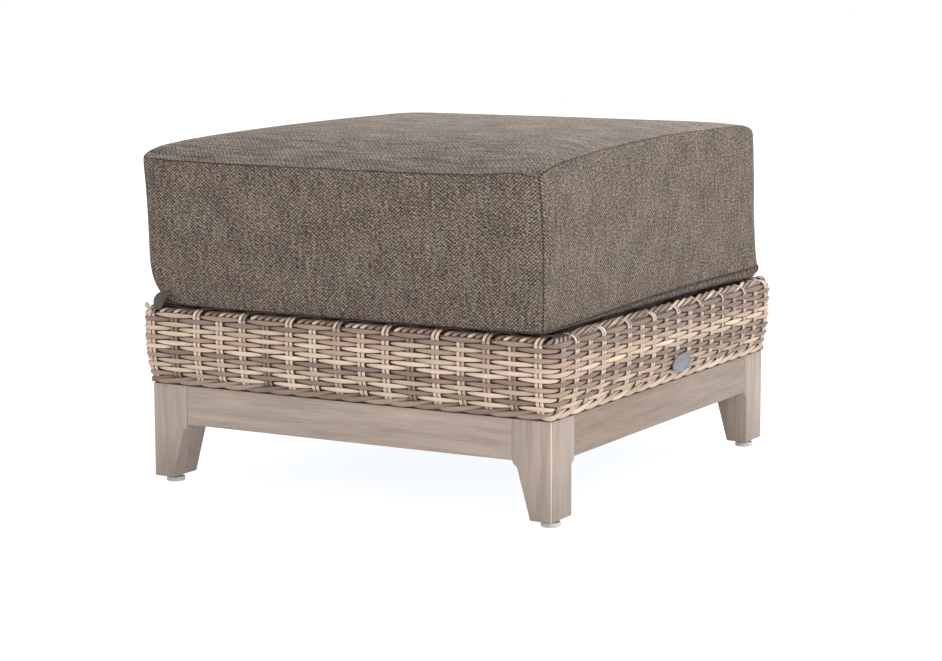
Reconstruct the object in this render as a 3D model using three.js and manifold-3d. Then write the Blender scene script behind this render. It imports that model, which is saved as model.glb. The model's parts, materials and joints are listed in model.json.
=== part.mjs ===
// Woven outdoor ottoman: a coated aluminium base on four tapered legs, a wicker skirt on an
// inner tube frame, a slatted deck, and a thick loose cushion with a zipped cover.
// Millimetres, +Z up. The origin is on the floor under the middle of the frame.
// -Y is the wide front, +X is the side that carries the oval plate.
import * as THREE from "three";
import { mergeVertices } from "three/addons/utils/BufferGeometryUtils.js";
import Module from "manifold-3d";

const wasm = await Module();
wasm.setup();

// Whole object
const FRAME_WIDTH = 603; // X, over the legs' outer faces
const FRAME_DEPTH = 645; // Y, over the legs' outer faces
const SEAT_GAP = 0.3; // left between pieces that touch
const OVERRUN = 2; // how far a cutting tool passes the face it cuts

// Legs: a square head block, a short shoulder, then a shank that tapers along X only
const LEG_HEIGHT = 126;
const LEG_HEAD_X = 55;
const LEG_HEAD_Y = 61;
const LEG_SHANK_X = 48;
const LEG_SHANK_Y = 53;
const LEG_TOE_X = 30;
const LEG_SHOULDER_DROP = 9;
const LEG_EDGE_RADIUS = 2.5;
const LEG_EDGE_STEPS = 3;

// Screw-in glides
const PAD_RADIUS = 12.5;
const PAD_THICKNESS = 6;
const PAD_CHAMFER = 1.2;
const PAD_SOCKET_DEPTH = 3.7;
const STUD_RADIUS = 4;
const STUD_SHOWING = 4; // bare stud between pad and leg
const STUD_GRIP = 24; // stud inside the leg
const STUD_CLEARANCE = 0.3;
const GLIDE_TRAVEL_IN = 3.5;
const GLIDE_SIDES = 16;

// Aprons between the legs, and the plates that tie each corner
const APRON_HEIGHT = 52.5;
const APRON_THICKNESS = 25;
const APRON_WALL = 2;
const PLATE_THICKNESS = 4;
const PLATE_REACH = 75; // along each apron, past the leg's head
const PLATE_DROP = 14; // from the apron's top edge to the plate's top face
const PLATE_HOLE_RADIUS = 4.2;
const PLATE_HOLE_EDGE = 13; // from the apron to a hole's middle
const PLATE_HOLE_ALONG = 22; // from the leg's head to a hole's middle

// Tube frame inside the skirt
const TUBE_SIZE = 20;
const TUBE_WALL = 1.5;
const RAIL_TOP_HEIGHT = 97.4; // top rail's upper face above the legs' tops
const POST_SETBACK = 10.5; // from the legs' faces, so that a post clears the rounded corner

// Deck
const SLAT_COUNT = 5;
const SLAT_WIDTH = 40;
const SLAT_THICKNESS = 12;
const SLAT_WALL = 1.2;
const SLAT_DROP = 7.7; // from the rail's upper face to the slats' tops

// Wicker skirt
const STAKE_BAYS = 17; // spaces between the upright strand pairs on each side
const WEFT_ROWS = 14;
const CORNER_RADIUS = 12;
const INNER_CORNER_RADIUS = 0.6;
const SKIRT_OUT_LOW = 1; // the skirt's middle surface past the legs' faces, at its foot
const SKIRT_OUT_HIGH = 8.3; // and at its top
const WEFT_RELIEF = 2.1; // half the rise and fall of a woven strand
const STAKE_RELIEF = 0.8;
const SKIRT_THICKNESS = 6.5;

// Plaited border along the foot of the skirt
const BRAID_HEIGHT = 13.7;
const BRAID_THICKNESS = 9;
const BRAID_OUT = 3; // its face past the legs' faces
const BRAID_STRANDS = 2;
const BRAID_SIDES = 8;
const BRAID_LOBE_SHARE = 0.16;

// Wrapped rim over the top rail
const RIM_OUT = 9.2;
const RIM_THICKNESS = 5.7;
const RIM_INNER_DROP = 12;
const WRAP_RELIEF = 0.9;
const WRAPS_PER_BAY = 2;

// Blank oval plate on the right side
const OVAL_LENGTH = 55;
const OVAL_HEIGHT = 25;
const OVAL_THICKNESS = 2;
const OVAL_BEVEL = 0.6;
const OVAL_ALONG = 30; // its centre past the middle of the side
const OVAL_RISE = 24.5; // its centre above the legs' tops
const OVAL_STEPS = 14;

// Cushion
const CUSHION_BACKSET_X = 10.7; // its sides inside the rim's outer edges
const CUSHION_BACKSET_Y = 15.7; // its front and back inside them
const CUSHION_SHIFT_X = -8; // it lies a little off the frame's middle
const CUSHION_SHIFT_Y = -6;
const CUSHION_LOW_SEAM = 21; // lower seam above the deck
const CUSHION_BOXING = 214; // between the lower and the upper seam
const CUSHION_CROWN = 6;
const CUSHION_CORNER_RADIUS = 24;
const CUSHION_DRAW_IN = 6; // how far the seams pull in between the corners
const CUSHION_FRONT_ROLL = 26; // how far the upper seam rolls down along the front
const CUSHION_FRONT_ROLL_SPAN = 310;
const CUSHION_CORNER_LIFT = 16;
const CUSHION_HEM_INSET = 8; // lower seam inside the widest outline
const CUSHION_BRIM_INSET = 2; // upper seam inside the widest outline
const CUSHION_SEAT_GAP = 3; // between its lower part and the rim's inner side
const CUSHION_SEAT_ROUNDING = 6; // from there to the flat patch that rests on the deck
const CUSHION_SEAM_DEPTH = 2.5;
const CUSHION_SEAM_WIDTH = 5;
const CUSHION_SIDE_STEPS = 9;
const CUSHION_CORNER_STEPS = 2;
const CAVITY_SIDE_STEPS = 4;
const COVER_WALL = 3;

// Zip along the back of the cover
const ZIP_END_INSET = 65; // from each side of the cushion to the end of the zip
const ZIP_TAPE_HEIGHT = 26;
const ZIP_TAPE_THICKNESS = 1.2;
const ZIP_CHAIN_HEIGHT = 5;
const ZIP_CHAIN_THICKNESS = 1.3;
const ZIP_SLIT_HEIGHT = 4;
const ZIP_END_MARGIN = 15; // tape past each end of the slit
const SLIDER_LENGTH = 12;
const SLIDER_HEIGHT = 10;
const SLIDER_THICKNESS = 4;
const SLIDER_BEVEL = 1;
const BRIDGE_LENGTH = 7;
const BRIDGE_WIDTH = 3;
const BRIDGE_RISE = 3.6;
const BRIDGE_BAR = 1.2;
const PULL_LENGTH = 25;
const PULL_WIDTH = 9;
const PULL_THICKNESS = 1.3;
const PULL_BAR = 1.5;
const PULL_EYE_LENGTH = 6;
const PULL_EYE_WIDTH = 4.6;

// Webbing loops at two corners of the cushion
const STRAP_WIDTH = 20;
const STRAP_THICKNESS = 2.4;
const STRAP_BULGE = 9; // how far it stands out from the corner
const STRAP_TAIL = 26; // how far it runs back under the cushion
const STRAP_TOP = 8; // its upper end above the lower seam's level part

// Heights and half sizes that follow from them
const LEG_BOTTOM = PAD_THICKNESS + STUD_SHOWING;
const LEG_TOP = LEG_BOTTOM + LEG_HEIGHT;
const APRON_BOTTOM = LEG_TOP - APRON_HEIGHT;
const RAIL_TOP = LEG_TOP + RAIL_TOP_HEIGHT;
const DECK_TOP = RAIL_TOP - SLAT_DROP;
const RIM_BOTTOM = RAIL_TOP + SEAT_GAP;
const RIM_TOP = RIM_BOTTOM + RIM_THICKNESS;
const RIM_LIP = RIM_TOP - RIM_INNER_DROP; // lower edge of its inner side
const POST_TOP = RIM_LIP - SEAT_GAP;
const BRAID_BOTTOM = LEG_TOP + SEAT_GAP;
const LOW_RAIL_SETBACK = BRAID_THICKNESS - BRAID_OUT + SEAT_GAP;
const SKIRT_BOTTOM = BRAID_BOTTOM + BRAID_HEIGHT + SEAT_GAP;
const SKIRT_TOP = RAIL_TOP;
const HALF_X = FRAME_WIDTH / 2;
const HALF_Y = FRAME_DEPTH / 2;
const CUSHION_WIDTH = FRAME_WIDTH + 2 * (RIM_OUT - CUSHION_BACKSET_X);
const CUSHION_DEPTH = FRAME_DEPTH + 2 * (RIM_OUT - CUSHION_BACKSET_Y);

const CORNERS = [
  { name: "front_left", sx: -1, sy: -1 },
  { name: "front_right", sx: 1, sy: -1 },
  { name: "back_right", sx: 1, sy: 1 },
  { name: "back_left", sx: -1, sy: 1 },
];
// Each side is drawn as if it were the front one, then turned into its place.
const SIDES = [
  { name: "front", length: FRAME_WIDTH, reach: FRAME_DEPTH, turn: 0, headAlong: LEG_HEAD_X },
  { name: "right", length: FRAME_DEPTH, reach: FRAME_WIDTH, turn: 1, headAlong: LEG_HEAD_Y },
  { name: "back", length: FRAME_WIDTH, reach: FRAME_DEPTH, turn: 2, headAlong: LEG_HEAD_X },
  { name: "left", length: FRAME_DEPTH, reach: FRAME_WIDTH, turn: 3, headAlong: LEG_HEAD_Y },
];

const coatedAluminium = () =>
  new THREE.MeshStandardMaterial({ color: 0xb5a699, roughness: 0.5, metalness: 0.2 });
const tubeAluminium = () =>
  new THREE.MeshStandardMaterial({ color: 0x8f8a84, roughness: 0.45, metalness: 0.6 });
const wickerStrand = () =>
  new THREE.MeshStandardMaterial({ color: 0xc8ad98, roughness: 0.6, metalness: 0 });
const cushionFabric = () =>
  new THREE.MeshStandardMaterial({ color: 0x857a70, roughness: 0.95, metalness: 0 });
const cushionFoam = () =>
  new THREE.MeshStandardMaterial({ color: 0xe9e2cf, roughness: 0.9, metalness: 0 });
const glideNylon = () =>
  new THREE.MeshStandardMaterial({ color: 0xd8cfc6, roughness: 0.5, metalness: 0 });
const zincSteel = () =>
  new THREE.MeshStandardMaterial({ color: 0xb9b9b7, roughness: 0.35, metalness: 0.9 });
const pewterPlate = () =>
  new THREE.MeshStandardMaterial({ color: 0x8b8680, roughness: 0.4, metalness: 0.8 });
const darkWebbing = () =>
  new THREE.MeshStandardMaterial({ color: 0x6a6663, roughness: 0.95, metalness: 0 });

const ottoman = new THREE.Group();

function addPiece(name, geometry, material, place = (mesh) => mesh) {
  const mesh = new THREE.Mesh(geometry, material);
  mesh.name = name;
  place(mesh);
  ottoman.add(mesh);
  return mesh;
}

// Solids: joins, cuts and the skins that they work on

function toSolid(geometry) {
  const bare = geometry.clone();
  bare.deleteAttribute("normal");
  bare.deleteAttribute("uv");
  const merged = mergeVertices(bare);
  return new wasm.Manifold(
    new wasm.Mesh({
      numProp: 3,
      vertProperties: merged.attributes.position.array,
      triVerts: new Uint32Array(merged.index.array),
    }),
  );
}

function toGeometry(solid) {
  const mesh = solid.getMesh();
  const geometry = new THREE.BufferGeometry();
  geometry.setAttribute("position", new THREE.BufferAttribute(mesh.vertProperties, mesh.numProp));
  geometry.setIndex(new THREE.BufferAttribute(mesh.triVerts, 1));
  geometry.computeVertexNormals();
  return geometry;
}

// A box between two opposite corners.
function boxBetween(low, high) {
  const size = high.map((value, axis) => value - low[axis]);
  const middle = high.map((value, axis) => (value + low[axis]) / 2);
  return new THREE.BoxGeometry(...size).translate(...middle);
}

// Six times the volume that the triangles enclose, negative when they face inwards.
function signedVolume(points, triangles) {
  const corner = triangles.map((index) => new THREE.Vector3(...points[index]));
  let sum = 0;
  for (let i = 0; i < corner.length; i += 3) {
    sum += corner[i].dot(corner[i + 1].clone().cross(corner[i + 2]));
  }
  return sum;
}

// A closed skin over rings of points. The end rings are closed by their flat outlines.
function loft(rings, firstOutline, lastOutline) {
  const count = rings[0].length;
  const points = rings.flat();
  const triangles = [];
  for (let ring = 0; ring + 1 < rings.length; ring++) {
    for (let i = 0; i < count; i++) {
      const next = (i + 1) % count;
      const a = ring * count + i;
      const b = ring * count + next;
      triangles.push(a, b, a + count, b, b + count, a + count);
    }
  }
  const lastStart = (rings.length - 1) * count;
  for (const [outline, start, isFirst] of [
    [firstOutline, 0, true],
    [lastOutline, lastStart, false],
  ]) {
    const flat = outline.map(([u, v]) => new THREE.Vector2(u, v));
    for (const face of THREE.ShapeUtils.triangulateShape(flat, [])) {
      const [i, j, k] = face.map((index) => start + index);
      triangles.push(...(isFirst ? [i, k, j] : [i, j, k]));
    }
  }
  if (signedVolume(points, triangles) < 0) triangles.reverse();
  const geometry = new THREE.BufferGeometry();
  geometry.setAttribute("position", new THREE.Float32BufferAttribute(points.flat(), 3));
  geometry.setIndex(triangles);
  geometry.computeVertexNormals();
  return geometry;
}

function polygonShape(points) {
  return new THREE.Shape(points.map(([u, v]) => new THREE.Vector2(u, v)));
}

// A flat outline in the X-Z plane, pushed along Y from one place to another.
function extrudeAlongY(points, from, to) {
  return new THREE.ExtrudeGeometry(polygonShape(points), { depth: to - from, bevelEnabled: false })
    .rotateX(Math.PI / 2)
    .translate(0, to, 0);
}

// A flat outline in the Y-Z plane, pushed along X from one place to another.
function extrudeAlongX(points, from, to) {
  return new THREE.ExtrudeGeometry(polygonShape(points), { depth: to - from, bevelEnabled: false })
    .rotateZ(Math.PI / 2)
    .rotateY(Math.PI / 2)
    .translate(from, 0, 0);
}

// A straight open tube along X with a rectangular section.
function tubeAlongX(length, low, high, wall) {
  const outer = boxBetween([-length / 2, low[0], low[1]], [length / 2, high[0], high[1]]);
  const bore = boxBetween(
    [-length / 2 - OVERRUN, low[0] + wall, low[1] + wall],
    [length / 2 + OVERRUN, high[0] - wall, high[1] - wall],
  );
  return toGeometry(toSolid(outer).subtract(toSolid(bore)));
}

// Base: legs, glides, aprons and corner plates

// Shoulder and taper of one face, from the head's edge down to the toe.
function legProfile(outer, head, shank, toe) {
  const shoulder = APRON_BOTTOM - LEG_SHOULDER_DROP;
  const step = head - shank;
  const bendShares = [
    [0.08, 0.25],
    [0.3, 0.5],
    [0.7, 0.75],
    [0.92, 0.92],
  ];
  const bend = bendShares.map(([across, down]) => [
    outer - head + step * across,
    APRON_BOTTOM - LEG_SHOULDER_DROP * down,
  ]);
  return [
    [outer, LEG_BOTTOM],
    [outer, LEG_TOP],
    [outer - head, LEG_TOP],
    [outer - head, APRON_BOTTOM],
    ...bend,
    [outer - shank, shoulder],
    [outer - toe, LEG_BOTTOM],
  ];
}

// The leg seen from above, with its outer edge rounded over.
function legPlan() {
  const rounded = [];
  for (let step = 0; step <= LEG_EDGE_STEPS; step++) {
    const angle = (step / LEG_EDGE_STEPS) * (Math.PI / 2);
    rounded.push([
      HALF_X - LEG_EDGE_RADIUS + LEG_EDGE_RADIUS * Math.cos(angle),
      HALF_Y - LEG_EDGE_RADIUS + LEG_EDGE_RADIUS * Math.sin(angle),
    ]);
  }
  return [
    ...rounded,
    [HALF_X - LEG_HEAD_X, HALF_Y],
    [HALF_X - LEG_HEAD_X, HALF_Y - LEG_HEAD_Y],
    [HALF_X, HALF_Y - LEG_HEAD_Y],
  ];
}

function glideCentre() {
  return [HALF_X - LEG_TOE_X / 2, HALF_Y - LEG_SHANK_Y / 2];
}

function legGeometry() {
  const alongY = extrudeAlongY(
    legProfile(HALF_X, LEG_HEAD_X, LEG_SHANK_X, LEG_TOE_X),
    HALF_Y - LEG_HEAD_Y,
    HALF_Y,
  );
  const alongX = extrudeAlongX(
    legProfile(HALF_Y, LEG_HEAD_Y, LEG_SHANK_Y, LEG_SHANK_Y),
    HALF_X - LEG_HEAD_X,
    HALF_X,
  );
  const upright = new THREE.ExtrudeGeometry(polygonShape(legPlan()), {
    depth: LEG_HEIGHT,
    bevelEnabled: false,
  }).translate(0, 0, LEG_BOTTOM);
  const boreDepth = STUD_GRIP + GLIDE_TRAVEL_IN + STUD_CLEARANCE;
  const [x, y] = glideCentre();
  const bore = new THREE.CylinderGeometry(
    STUD_RADIUS + STUD_CLEARANCE,
    STUD_RADIUS + STUD_CLEARANCE,
    boreDepth + OVERRUN,
    GLIDE_SIDES,
  )
    .rotateX(Math.PI / 2)
    .translate(x, y, LEG_BOTTOM + (boreDepth - OVERRUN) / 2);
  return toGeometry(
    toSolid(alongY).intersect(toSolid(alongX)).intersect(toSolid(upright)).subtract(toSolid(bore)),
  );
}

function padGeometry() {
  const socketRadius = STUD_RADIUS + STUD_CLEARANCE;
  const profile = [
    [0, 0],
    [PAD_RADIUS - PAD_CHAMFER, 0],
    [PAD_RADIUS, PAD_CHAMFER],
    [PAD_RADIUS, PAD_THICKNESS - PAD_CHAMFER],
    [PAD_RADIUS - PAD_CHAMFER, PAD_THICKNESS],
    [socketRadius, PAD_THICKNESS],
    [socketRadius, PAD_THICKNESS - PAD_SOCKET_DEPTH],
    [0, PAD_THICKNESS - PAD_SOCKET_DEPTH],
  ];
  return new THREE.LatheGeometry(
    profile.map(([r, z]) => new THREE.Vector2(r, z)),
    GLIDE_SIDES,
  ).rotateX(Math.PI / 2);
}

function studGeometry() {
  const bottom = PAD_THICKNESS - PAD_SOCKET_DEPTH + SEAT_GAP;
  const top = LEG_BOTTOM + STUD_GRIP;
  return new THREE.CylinderGeometry(STUD_RADIUS, STUD_RADIUS, top - bottom, GLIDE_SIDES)
    .rotateX(Math.PI / 2)
    .translate(0, 0, (top + bottom) / 2);
}

// A flat plate that hugs the leg's head and lies against both aprons.
function cornerPlateGeometry() {
  const apronX = HALF_X - APRON_THICKNESS - SEAT_GAP;
  const apronY = HALF_Y - APRON_THICKNESS - SEAT_GAP;
  const headX = HALF_X - LEG_HEAD_X - SEAT_GAP;
  const headY = HALF_Y - LEG_HEAD_Y - SEAT_GAP;
  const shape = polygonShape([
    [apronX, headY],
    [headX, headY],
    [headX, apronY],
    [headX - PLATE_REACH, apronY],
    [apronX, headY - PLATE_REACH],
  ]);
  const holes = [
    [headX - PLATE_HOLE_ALONG, apronY - PLATE_HOLE_EDGE],
    [apronX - PLATE_HOLE_EDGE, headY - PLATE_HOLE_ALONG],
  ];
  for (const [x, y] of holes) {
    const hole = new THREE.Path();
    hole.absarc(x, y, PLATE_HOLE_RADIUS, 0, 2 * Math.PI, true);
    shape.holes.push(hole);
  }
  return new THREE.ExtrudeGeometry(shape, {
    depth: PLATE_THICKNESS,
    bevelEnabled: false,
    curveSegments: GLIDE_SIDES / 2,
  }).translate(0, 0, LEG_TOP - PLATE_DROP - PLATE_THICKNESS);
}

function apronGeometry(side) {
  const length = side.length - 2 * side.headAlong - 2 * SEAT_GAP;
  const face = -side.reach / 2;
  return tubeAlongX(
    length,
    [face, APRON_BOTTOM],
    [face + APRON_THICKNESS, LEG_TOP],
    APRON_WALL,
  );
}

for (const { name, sx, sy } of CORNERS) {
  const mirrored = (mesh) => mesh.scale.set(sx, sy, 1);
  const [x, y] = glideCentre();
  const under = (mesh) => mesh.position.set(sx * x, sy * y, 0);
  addPiece(`leg_${name}`, legGeometry(), coatedAluminium(), mirrored);
  addPiece(`corner_plate_${name}`, cornerPlateGeometry(), tubeAluminium(), mirrored);
  addPiece(`glide_pad_${name}`, padGeometry(), glideNylon(), under);
  addPiece(`glide_stud_${name}`, studGeometry(), zincSteel(), under);
}

// Tube frame and deck

function postGeometry() {
  const outerX = HALF_X - POST_SETBACK;
  const outerY = HALF_Y - POST_SETBACK;
  const low = [outerX - TUBE_SIZE, outerY - TUBE_SIZE, LEG_TOP + SEAT_GAP];
  const high = [outerX, outerY, POST_TOP];
  const bore = boxBetween(
    [low[0] + TUBE_WALL, low[1] + TUBE_WALL, low[2] - OVERRUN],
    [high[0] - TUBE_WALL, high[1] - TUBE_WALL, high[2] + OVERRUN],
  );
  return toGeometry(toSolid(boxBetween(low, high)).subtract(toSolid(bore)));
}

// Rails run between the posts. The top rail stands out to the legs' faces, under the rim.
function railGeometry(side, setback, bottom) {
  const length = side.length - 2 * (POST_SETBACK + TUBE_SIZE + SEAT_GAP);
  const face = -side.reach / 2 + setback;
  return tubeAlongX(length, [face, bottom], [face + TUBE_SIZE, bottom + TUBE_SIZE], TUBE_WALL);
}

function slatGeometry() {
  const length = FRAME_WIDTH - 2 * (TUBE_SIZE + SEAT_GAP);
  return tubeAlongX(
    length,
    [-SLAT_WIDTH / 2, DECK_TOP - SLAT_THICKNESS],
    [SLAT_WIDTH / 2, DECK_TOP],
    SLAT_WALL,
  );
}

for (const { name, sx, sy } of CORNERS) {
  addPiece(`post_${name}`, postGeometry(), tubeAluminium(), (mesh) => mesh.scale.set(sx, sy, 1));
}
for (let slat = 0; slat < SLAT_COUNT; slat++) {
  const pitch = FRAME_DEPTH / (SLAT_COUNT + 1);
  const y = (slat - (SLAT_COUNT - 1) / 2) * pitch;
  addPiece(`deck_slat_${slat + 1}`, slatGeometry(), tubeAluminium(), (mesh) =>
    mesh.position.set(0, y, 0),
  );
}

// Wicker: every piece follows the outline of the frame with rounded corners

// A point of the outline that stands `out` past the legs' faces. The share runs from one
// corner's diagonal to the next.
function outlinePoint(side, share, out) {
  const radius = Math.max(CORNER_RADIUS + out, INNER_CORNER_RADIUS);
  const straight = side.length / 2 + out - radius;
  const along = (2 * share - 1) * (straight + (radius * Math.PI) / 4);
  const bend = Math.max(Math.abs(along) - straight, 0) / radius;
  const x = Math.sign(along) * (Math.min(Math.abs(along), straight) + radius * Math.sin(bend));
  const y = -(side.reach / 2 + out - radius + radius * Math.cos(bend));
  return [x, y];
}

// A section of out and height pairs, carried along one side by a function of the station.
function runAlongSide(side, stations, sectionAt) {
  const trim = SEAT_GAP / side.length;
  const sections = [];
  const rings = [];
  for (let station = 0; station <= stations; station++) {
    const share = trim + (1 - 2 * trim) * (station / stations);
    const section = sectionAt(station);
    sections.push(section);
    rings.push(section.map(([out, z]) => [...outlinePoint(side, share, out), z]));
  }
  return loft(rings, sections[0], sections[stations]);
}

// How far the woven face stands from its middle surface. Even columns are the upright strand
// pairs and odd rows the middles of the level strands, which pass over one pair, under the next.
function weaveRelief(column, row, turn) {
  const onStake = column % 2 === 0;
  const onWeft = row % 2 === 1;
  const over = (column / 2 + (row - 1) / 2 + turn) % 2 === 0;
  if (onStake && onWeft) return over ? WEFT_RELIEF : STAKE_RELIEF - WEFT_RELIEF / 2;
  if (onStake) return -STAKE_RELIEF / 2;
  return onWeft ? 0 : -WEFT_RELIEF;
}

function skirtOut(z) {
  const rise = (z - LEG_TOP) / (RAIL_TOP - LEG_TOP);
  return SKIRT_OUT_LOW + (SKIRT_OUT_HIGH - SKIRT_OUT_LOW) * rise;
}

function weaveGeometry(side) {
  const rows = 2 * WEFT_ROWS;
  return runAlongSide(side, 2 * STAKE_BAYS, (column) => {
    const face = [];
    for (let row = 0; row <= rows; row++) {
      const z = SKIRT_BOTTOM + ((SKIRT_TOP - SKIRT_BOTTOM) * row) / rows;
      face.push([skirtOut(z) + weaveRelief(column, row, side.turn), z]);
    }
    const back = [SKIRT_TOP, SKIRT_BOTTOM].map((z) => [skirtOut(z) - SKIRT_THICKNESS, z]);
    return [...face, ...back];
  });
}

// The border is a rope of strands laid side by side, so its lobed section turns as it runs.
function braidGeometry(side) {
  const toFlats = Math.cos(Math.PI / BRAID_SIDES);
  const halfThickness = BRAID_THICKNESS / 2;
  const halfHeight = BRAID_HEIGHT / 2;
  return runAlongSide(side, 2 * STAKE_BAYS, (station) => {
    const twist = (station * Math.PI) / BRAID_STRANDS;
    const section = [];
    for (let i = 0; i < BRAID_SIDES; i++) {
      const angle = ((i + 0.5) / BRAID_SIDES) * 2 * Math.PI;
      const lobe = 1 - BRAID_LOBE_SHARE * (0.5 + 0.5 * Math.cos(BRAID_STRANDS * angle - twist));
      section.push([
        BRAID_OUT - halfThickness + (halfThickness * lobe * Math.cos(angle)) / toFlats,
        BRAID_BOTTOM + halfHeight + (halfHeight * lobe * Math.sin(angle)) / toFlats,
      ]);
    }
    return section;
  });
}

// The rim lies over the top rail and the skirt's edge and turns down inside the rail.
function rimGeometry(side) {
  const inner = -TUBE_SIZE - SEAT_GAP;
  const innerFace = inner - RIM_THICKNESS + WRAP_RELIEF;
  return runAlongSide(side, WRAPS_PER_BAY * STAKE_BAYS, (station) => {
    const wrap = station % 2 === 0 ? 0 : WRAP_RELIEF;
    const top = RIM_TOP - wrap;
    return [
      [inner, RIM_BOTTOM],
      [RIM_OUT - wrap, RIM_BOTTOM],
      [RIM_OUT - wrap, RIM_BOTTOM + RIM_THICKNESS * 0.45],
      [RIM_OUT - RIM_THICKNESS * 0.7, top],
      [inner, top],
      [innerFace + wrap, RIM_BOTTOM + RIM_THICKNESS * 0.4],
      [innerFace + wrap, RIM_LIP],
      [inner, RIM_LIP],
    ];
  });
}

for (const side of SIDES) {
  const turned = (mesh) => mesh.rotateZ((side.turn * Math.PI) / 2);
  const lowRail = railGeometry(side, LOW_RAIL_SETBACK, LEG_TOP + SEAT_GAP);
  const topRail = railGeometry(side, 0, RAIL_TOP - TUBE_SIZE);
  addPiece(`apron_${side.name}`, apronGeometry(side), coatedAluminium(), turned);
  addPiece(`bottom_rail_${side.name}`, lowRail, tubeAluminium(), turned);
  addPiece(`top_rail_${side.name}`, topRail, tubeAluminium(), turned);
  addPiece(`weave_${side.name}`, weaveGeometry(side), wickerStrand(), turned);
  addPiece(`rim_${side.name}`, rimGeometry(side), wickerStrand(), turned);
  addPiece(`braid_${side.name}`, braidGeometry(side), wickerStrand(), turned);
}

// The plate leans with the skirt and touches the crests of the woven strands.
function ovalPlateGeometry() {
  const oval = new THREE.Shape();
  oval.absellipse(0, 0, OVAL_LENGTH / 2 - OVAL_BEVEL, OVAL_HEIGHT / 2 - OVAL_BEVEL, 0, 2 * Math.PI);
  return new THREE.ExtrudeGeometry(oval, {
    depth: OVAL_THICKNESS - 2 * OVAL_BEVEL,
    bevelThickness: OVAL_BEVEL,
    bevelSize: OVAL_BEVEL,
    bevelSegments: 1,
    curveSegments: OVAL_STEPS,
  })
    .rotateX(Math.PI / 2)
    .rotateZ(Math.PI / 2);
}

addPiece("oval_plate", ovalPlateGeometry(), pewterPlate(), (mesh) => {
  const z = LEG_TOP + OVAL_RISE;
  const lean = Math.atan((SKIRT_OUT_HIGH - SKIRT_OUT_LOW) / (RAIL_TOP - LEG_TOP));
  const proud = WEFT_RELIEF + SEAT_GAP + OVAL_BEVEL;
  mesh.position.set(HALF_X + skirtOut(z) + proud, OVAL_ALONG, z);
  mesh.rotation.y = lean;
});

// Cushion: rings from the flat patch on the deck, up the sides, to the crown

const REST_Z = DECK_TOP + SEAT_GAP;
const LOW_SEAM_Z = REST_Z + CUSHION_LOW_SEAM;
const HIGH_SEAM_Z = LOW_SEAM_Z + CUSHION_BOXING;
const BOXING_MIDDLE = (LOW_SEAM_Z + HIGH_SEAM_Z) / 2;
const ZIP_LENGTH = CUSHION_WIDTH - 2 * ZIP_END_INSET;
const CUSHION_HALVES = [CUSHION_WIDTH / 2, CUSHION_DEPTH / 2];
// The opening that the rim leaves, seen from the middle of the shifted cushion
const RIM_REACH = TUBE_SIZE + SEAT_GAP + RIM_THICKNESS + CUSHION_SEAT_GAP;
const SEAT_HALVES = [
  HALF_X - RIM_REACH - Math.abs(CUSHION_SHIFT_X),
  HALF_Y - RIM_REACH - Math.abs(CUSHION_SHIFT_Y),
];

// Each ring: how far inside the outline, its height, how much of the draw-in, of the front roll
// and of the corner lift it takes, how far it is led in to the opening of the rim (seat), which
// way the wall's thickness moves it, and whether the plainer inner surfaces use it too.
function cushionRings() {
  const half = CUSHION_WIDTH / 2;
  const lip = CUSHION_SEAM_WIDTH / 2;
  const overRim = RIM_TOP - REST_Z;
  const hem = CUSHION_HEM_INSET;
  const brim = CUSHION_BRIM_INSET;
  const groove = CUSHION_SEAM_DEPTH;
  const round = CUSHION_SEAT_ROUNDING;
  const crownZ = (share) => HIGH_SEAM_Z + CUSHION_CROWN * share;
  const boxZ = (share) => LOW_SEAM_Z + CUSHION_BOXING * share;
  const plain = { draw: 0, roll: 0, lift: 0, seat: 0, up: 0, inner: false };
  return [
    { inset: half * 0.6, z: REST_Z, seat: 1, up: -1, inner: true },
    { inset: round, z: REST_Z, seat: 1, up: -1, inner: true },
    { inset: round * 0.3, z: REST_Z + overRim * 0.35, seat: 1, up: -1 },
    { inset: 0, z: REST_Z + overRim * 1.02, seat: 1, up: -1 },
    { inset: 0, z: REST_Z + overRim * 1.2, seat: 0.8, draw: 0.4, lift: 0.3, up: -1, inner: true },
    { inset: hem * 1.6, z: LOW_SEAM_Z - lip * 1.3, draw: 0.8, lift: 0.8, up: -1 },
    { inset: hem, z: LOW_SEAM_Z - lip, draw: 1, lift: 1 },
    { inset: hem + groove, z: LOW_SEAM_Z, draw: 1, lift: 1 },
    { inset: hem, z: LOW_SEAM_Z + lip, draw: 1, lift: 1, inner: true },
    { inset: hem * 0.3, z: boxZ(0.2), draw: 0.4, lift: 0.5 },
    { inset: 0, z: BOXING_MIDDLE - ZIP_TAPE_HEIGHT, inner: true },
    { inset: 0, z: BOXING_MIDDLE + ZIP_TAPE_HEIGHT, inner: true },
    { inset: brim * 0.4, z: boxZ(0.82), draw: 0.5, roll: 0.7 },
    { inset: brim, z: HIGH_SEAM_Z - lip, draw: 1, roll: 1, inner: true },
    { inset: brim + groove, z: HIGH_SEAM_Z, draw: 1, roll: 1 },
    { inset: brim * 1.5, z: HIGH_SEAM_Z + lip, draw: 1, roll: 1 },
    { inset: brim * 7, z: crownZ(0.7), draw: 0.8, roll: 0.72, up: 1, inner: true },
    { inset: brim * 18, z: crownZ(0.86), draw: 0.4, roll: 0.5, up: 1 },
    { inset: brim * 45, z: crownZ(0.95), roll: 0.4, up: 1, inner: true },
    { inset: half * 0.7, z: crownZ(1), roll: 0.3, up: 1, inner: true },
  ].map((ring) => ({ ...plain, ...ring }));
}

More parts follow.
